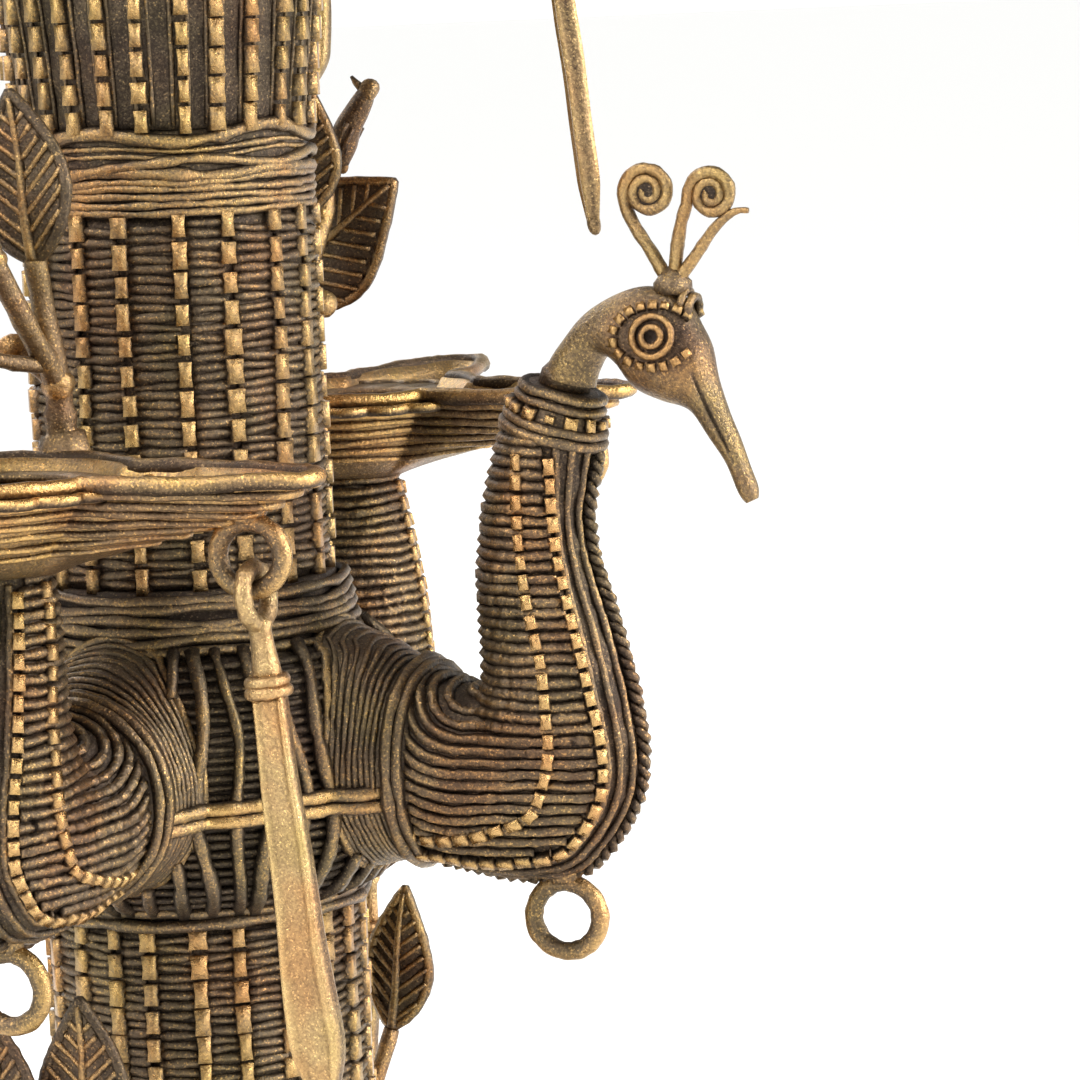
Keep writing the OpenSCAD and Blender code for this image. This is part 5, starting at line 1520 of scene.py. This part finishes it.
class LAMP_OT_crown(bpy.types.Operator):
    """Makes the crown bowl and the peacock that stands in it"""
    bl_idname = "lamp.crown"
    bl_label = "Crown"

    def execute(self, context):
        self.bowl()
        self.peacock()
        return {"FINISHED"}

    def bowl(self):
        """The crown bowl, with petals on its inside."""
        finish = finish_named("ladle_brass")
        low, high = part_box("crown_bowl")
        base, rim, trunk = low.z / MM + SPIGOT, high.x / MM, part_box("top_trunk")[1].y / MM
        outside = [[trunk + 1, 0], [trunk + 2, 2], [trunk + 0.5, 4], [rim - 10, 7], [rim - 6, 9],
                   [rim - 2.4, 12.4], [rim - 0.6, 17]]
        inside = [[rim - 2.6, 16.6], [rim - 5, 13], [rim - 8, 11], [14, 6.5], [9, 6.5], [9, 8.9],
                  [ROD_HOLE, 8.9], [ROD_HOLE, 0], [BORE - 3, -0.01], [BORE - 3, -SPIGOT],
                  [BORE - 0.05, -SPIGOT], [BORE - 0.05, 0]]
        shells = [turned(subdivided(outside + inside, 1.4), 140, rough=0.1, size=3.5, seed=91, wear=0.35,
                         z=base)]
        wires = [hoop(trunk + 1.6, base + 1.0, 0.85, seed=1), hoop(trunk + 1.7, base + 2.8, 0.8, seed=2),
                 hoop(rim - 0.9, base + 16.4, 0.8, count=110, seed=3)]
        for k, share in enumerate(np.linspace(0.1, 0.92, 8)):
            r = np.interp(share, [0, 0.5, 1], [trunk + 1.5, rim - 6.2, rim - 0.9])
            wires.append(hoop(r, base + np.interp(share, [0, 0.5, 1], [4, 9, 16.5]), 0.55, count=100,
                              seed=20 + k))
        wires += radial_petals(14, [[14.5, base + 7.1], [20, base + 9.4], [26, base + 11.6],
                                    [rim - 4.6, base + 13.8]], 0.6)
        rows = [hoop(rim - 0.4, base + 14.6, 1.8, count=110)]
        shells += [threads(wires, finish, seed=14), beads(rows, finish, 2.6, 1.8, 1.2, seed=4)]
        build("crown_bowl_casting", shells, "stand", finish, "brown_brass", "crown_bowl")

    def peacock(self):
        """The peacock on its column, with a fanned tail and a crest."""
        finish = finish_named("wound_brass")
        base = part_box("finial_peacock")[0].z / MM
        column = subdivided([[ROD_HOLE - 0.2, 0], [8, 0], [8, 2], [4.9, 5], [6, 9], [7.4, 14.2], [4, 15],
                             [ROD_HOLE - 0.2, 12]], 1.2)
        shells = [turned(column, 64, rough=0.08, seed=5, wear=0.3)]
        points, position, angle = sliced(FINIAL, 150, 80)
        out = outward(points)
        body = points - (0.25 - 0.1 * wobble(points, 2.4, 6))[..., None] * out
        shells.append(grid_shell(body, np.where(position[:, None] > 6.4, 0.6,
                                                0.1) * np.ones_like(points[..., 0])))
        run = position[:, None] * 5.2 + 0.4 * np.cos(angle)[None]
        keep = np.broadcast_to((position[:, None] < 6.5) & (position[:, None] > 0.25), run.shape)
        wires = contours(points, out, run, np.arange(1.5, 34, 1.5), keep, 0.6)
        rows = []
        for side in (-1, 1):
            for share in (0.95, 1.5, 2.05):
                spots, away = along_surface(points, out, np.full(150, side * share))
                rows.append(line((spots + 0.45 * away)[8:90], away[8:90], 1.6))
            spots, away = on_flank(points, out,
                                   np.stack([11.6 + 1.5 * np.cos(angle[::4]),
                                             45.6 + 1.5 * np.sin(angle[::4])], axis=-1), side)
            wires.append(line(spots + 0.1 * away, away, 0.42, closed=True))
            eye, _ = on_flank(points, out, np.array([[11.6, 45.6]]), side)
            shells.append(knob(eye[0], 0.8, 3, (1, 0.6, 1)))
        for lean in np.radians([-82, -74, -66, -58, -50, -42]):
            reach = np.linspace(3, 24.5 - 2.6 * abs(lean + 1.08) * 6, 14)
            fan = np.stack([-5.5 + reach * np.sin(lean), 0.4 * np.sin(lean * 40) + 0 * reach,
                            17 + reach * np.cos(lean)], axis=-1)
            # The fan wires take +Y and a little up as out, one fixed side, so that side is a painted lit
            # side.
            wires.append(line(fan, [0, 1, 0.3], np.linspace(1.5, 1.1, 14)))
        around = np.linspace(0, 2 * math.pi, 20, endpoint=False)
        tail = np.stack([np.stack([np.full(20, -5.5), r * np.cos(around) * 0.5, 17 + 0 * around], axis=-1)
                         + np.array([math.sin(math.radians(-62)), 0, math.cos(math.radians(-62))]) * d
                         + np.array([math.cos(math.radians(-62)), 0, -math.sin(math.radians(-62))])
                         * (r * np.sin(around))[:, None] for r,
                         d in ((3.6, 0), (4.2, 6), (4.6, 12), (4.2, 18), (2.2, 22.4))])
        shells.append(grid_shell(tail, 0.3))
        for turn in (-28, -4, 20):
            tip = [12.4 + 8.0 * math.sin(math.radians(turn)), 0, 45.6 + 3.1 * math.cos(math.radians(turn))]
            # The crest wires take -Y as out, one fixed side, so their -Y side is a painted lit side.
            wires.append(line(curve_through([[11.4, 0, 46.8],
                                             [12.0 + 2.5 * math.sin(math.radians(turn)), 0, 48.4], tip], 8),
                              [0, -1, 0], 0.6))
        shells += [threads(wires, finish, sides=8, seed=4), beads(rows, finish, 2.4, 1.9, 1.2, seed=6)]
        build("finial_peacock_casting", moved(shells, 0, (0, 0, base)), "stand", finish, "worn_brass",
              "finial_peacock")


class LAMP_OT_core(bpy.types.Operator):
    """Gives the tie rod, washer and nut their machined steel"""
    bl_idname = "lamp.core"
    bl_label = "Tie rod"

    def execute(self, context):
        steel = finish_named("zinc_steel")
        for name in ("tie_rod", "base_washer", "base_nut"):
            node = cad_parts[name]
            node.data.materials.clear()
            node.data.materials.append(steel)
        return {"FINISHED"}


# ---- studio ----

class LAMP_OT_stage(bpy.types.Operator):
    """Makes the pale floor, the soft lights and the camera"""
    bl_idname = "lamp.stage"
    bl_label = "Studio"

    def execute(self, context):
        scene = context.scene
        scene.view_settings.view_transform = "Standard"
        self.camera(scene)
        self.floor(scene)
        world = bpy.data.worlds.new("studio")
        scene.world = world
        world.use_nodes = True
        tree = world.node_tree
        up = add(tree, "ShaderNodeSeparateXYZ",
                 {0: add(tree, "ShaderNodeTexCoord").outputs["Generated"]}).outputs["Z"]
        strength = add(tree, "ShaderNodeMapRange",
                       {"Value": up, "From Min": 0.03, "From Max": 0.2, "To Min": 1.2, "To Max": 0.34})
        tree.links.new(strength.outputs[0], tree.nodes["Background"].inputs["Strength"])
        tree.nodes["Background"].inputs["Color"].default_value = (1.0, 1.0, 1.0, 1.0)
        for name, place, size, power in (("key", (1.5, 0.3, 0.8), 0.9, 38.0),
                                         ("fill", (-0.6, -1.5, 0.9), 1.0, 13.0),
                                         ("rim", (-1.3, 0.9, 1.2), 0.9, 14.0)):
            self.lamp(scene, name, place, size, power)
        sun = bpy.data.lights.new("sun", "SUN")
        sun.energy, sun.angle = 3.0, math.radians(40)
        holder = bpy.data.objects.new("sun", sun)
        holder.rotation_euler = (math.radians(30), math.radians(-18), 0)
        scene.collection.objects.link(holder)
        return {"FINISHED"}

    def camera(self, scene):
        """A long lens that looks a little down at the lower tier, from the front right."""
        forward = Vector((-0.3874, 0.9128, -0.1288)).normalized()
        level, upright, roll = Vector((0.9205, 0.3907, 0.0)), Vector((-0.0503, 0.1186, 0.9917)), -0.042
        right = level * math.cos(roll) + upright * math.sin(roll)
        up = right.cross(forward)
        data = bpy.data.cameras.new("camera")
        data.lens, data.sensor_width, data.clip_end = 138.67, 36.0, 200.0
        camera = bpy.data.objects.new("camera", data)
        turn = Matrix((right, up, -forward)).transposed().to_4x4()
        camera.matrix_world = Matrix.Translation((0.25, -0.4725, WAIST["lower"] * MM + 0.09795)) @ turn
        scene.collection.objects.link(camera)
        scene.camera = camera

    def floor(self, scene):
        """A wide round floor."""
        angles = np.linspace(0, 2 * math.pi, 64, endpoint=False)
        mesh = bpy.data.meshes.new("floor")
        corners = np.stack([60 * np.cos(angles), 60 * np.sin(angles), np.zeros(64)], axis=-1)
        mesh.from_pydata(corners.tolist(), [], [list(range(64))])
        floor = bpy.data.objects.new("floor", mesh)
        scene.collection.objects.link(floor)
        material = bpy.data.materials.new("matt_paint")
        material.use_nodes = True
        shader = material.node_tree.nodes["Principled BSDF"]
        shader.inputs["Base Color"].default_value = colours().floor
        shader.inputs["Roughness"].default_value = 0.9
        mesh.materials.append(material)

    def lamp(self, scene, name, place, size, power):
        """One round soft light aimed at the middle of the lamp."""
        data = bpy.data.lights.new(name, "AREA")
        data.shape, data.size, data.energy = "DISK", size, power
        holder = bpy.data.objects.new(name, data)
        aim = (Vector((0, 0, 0.24)) - Vector(place)).to_track_quat("-Z", "Y")
        holder.matrix_world = Matrix.Translation(place) @ aim.to_matrix().to_4x4()
        scene.collection.objects.link(holder)


# ---- panel and registration ----

CLASSES = (FinishColours, ThreadSizes, LAMP_OT_trunk, LAMP_OT_bellies, LAMP_OT_arms, LAMP_OT_heads,
           LAMP_OT_bowls, LAMP_OT_branches, LAMP_OT_pendants, LAMP_OT_foot, LAMP_OT_crown, LAMP_OT_core,
           LAMP_OT_stage)
STEPS = ("trunk", "bellies", "arms", "heads", "bowls", "branches", "pendants", "foot", "crown", "core",
         "stage")


class LAMP_PT_panel(bpy.types.Panel):
    """Lists the lamp's pieces, sizes and colours"""
    bl_idname = "LAMP_PT_panel"
    bl_label = "Oil Lamp"
    bl_space_type = "VIEW_3D"
    bl_region_type = "UI"
    bl_category = "Oil Lamp"

    def draw(self, context):
        for step in STEPS:
            self.layout.operator(f"lamp.{step}")
        for group in (sizes(), colours()):
            box = self.layout.box()
            for key in group.__annotations__:
                box.prop(group, key)


def register():
    for one in (*CLASSES, LAMP_PT_panel):
        bpy.utils.register_class(one)
    bpy.types.Scene.lamp_colours = bpy.props.PointerProperty(type=FinishColours)
    bpy.types.Scene.lamp_sizes = bpy.props.PointerProperty(type=ThreadSizes)


def unregister():
    del bpy.types.Scene.lamp_colours
    del bpy.types.Scene.lamp_sizes
    for one in (LAMP_PT_panel, *reversed(CLASSES)):
        bpy.utils.unregister_class(one)


def main():
    """Makes every piece in order."""
    register()
    thread_tree()
    bead_tree()
    for step in STEPS:
        getattr(bpy.ops.lamp, step)()


if __name__ == "__main__":
    main()
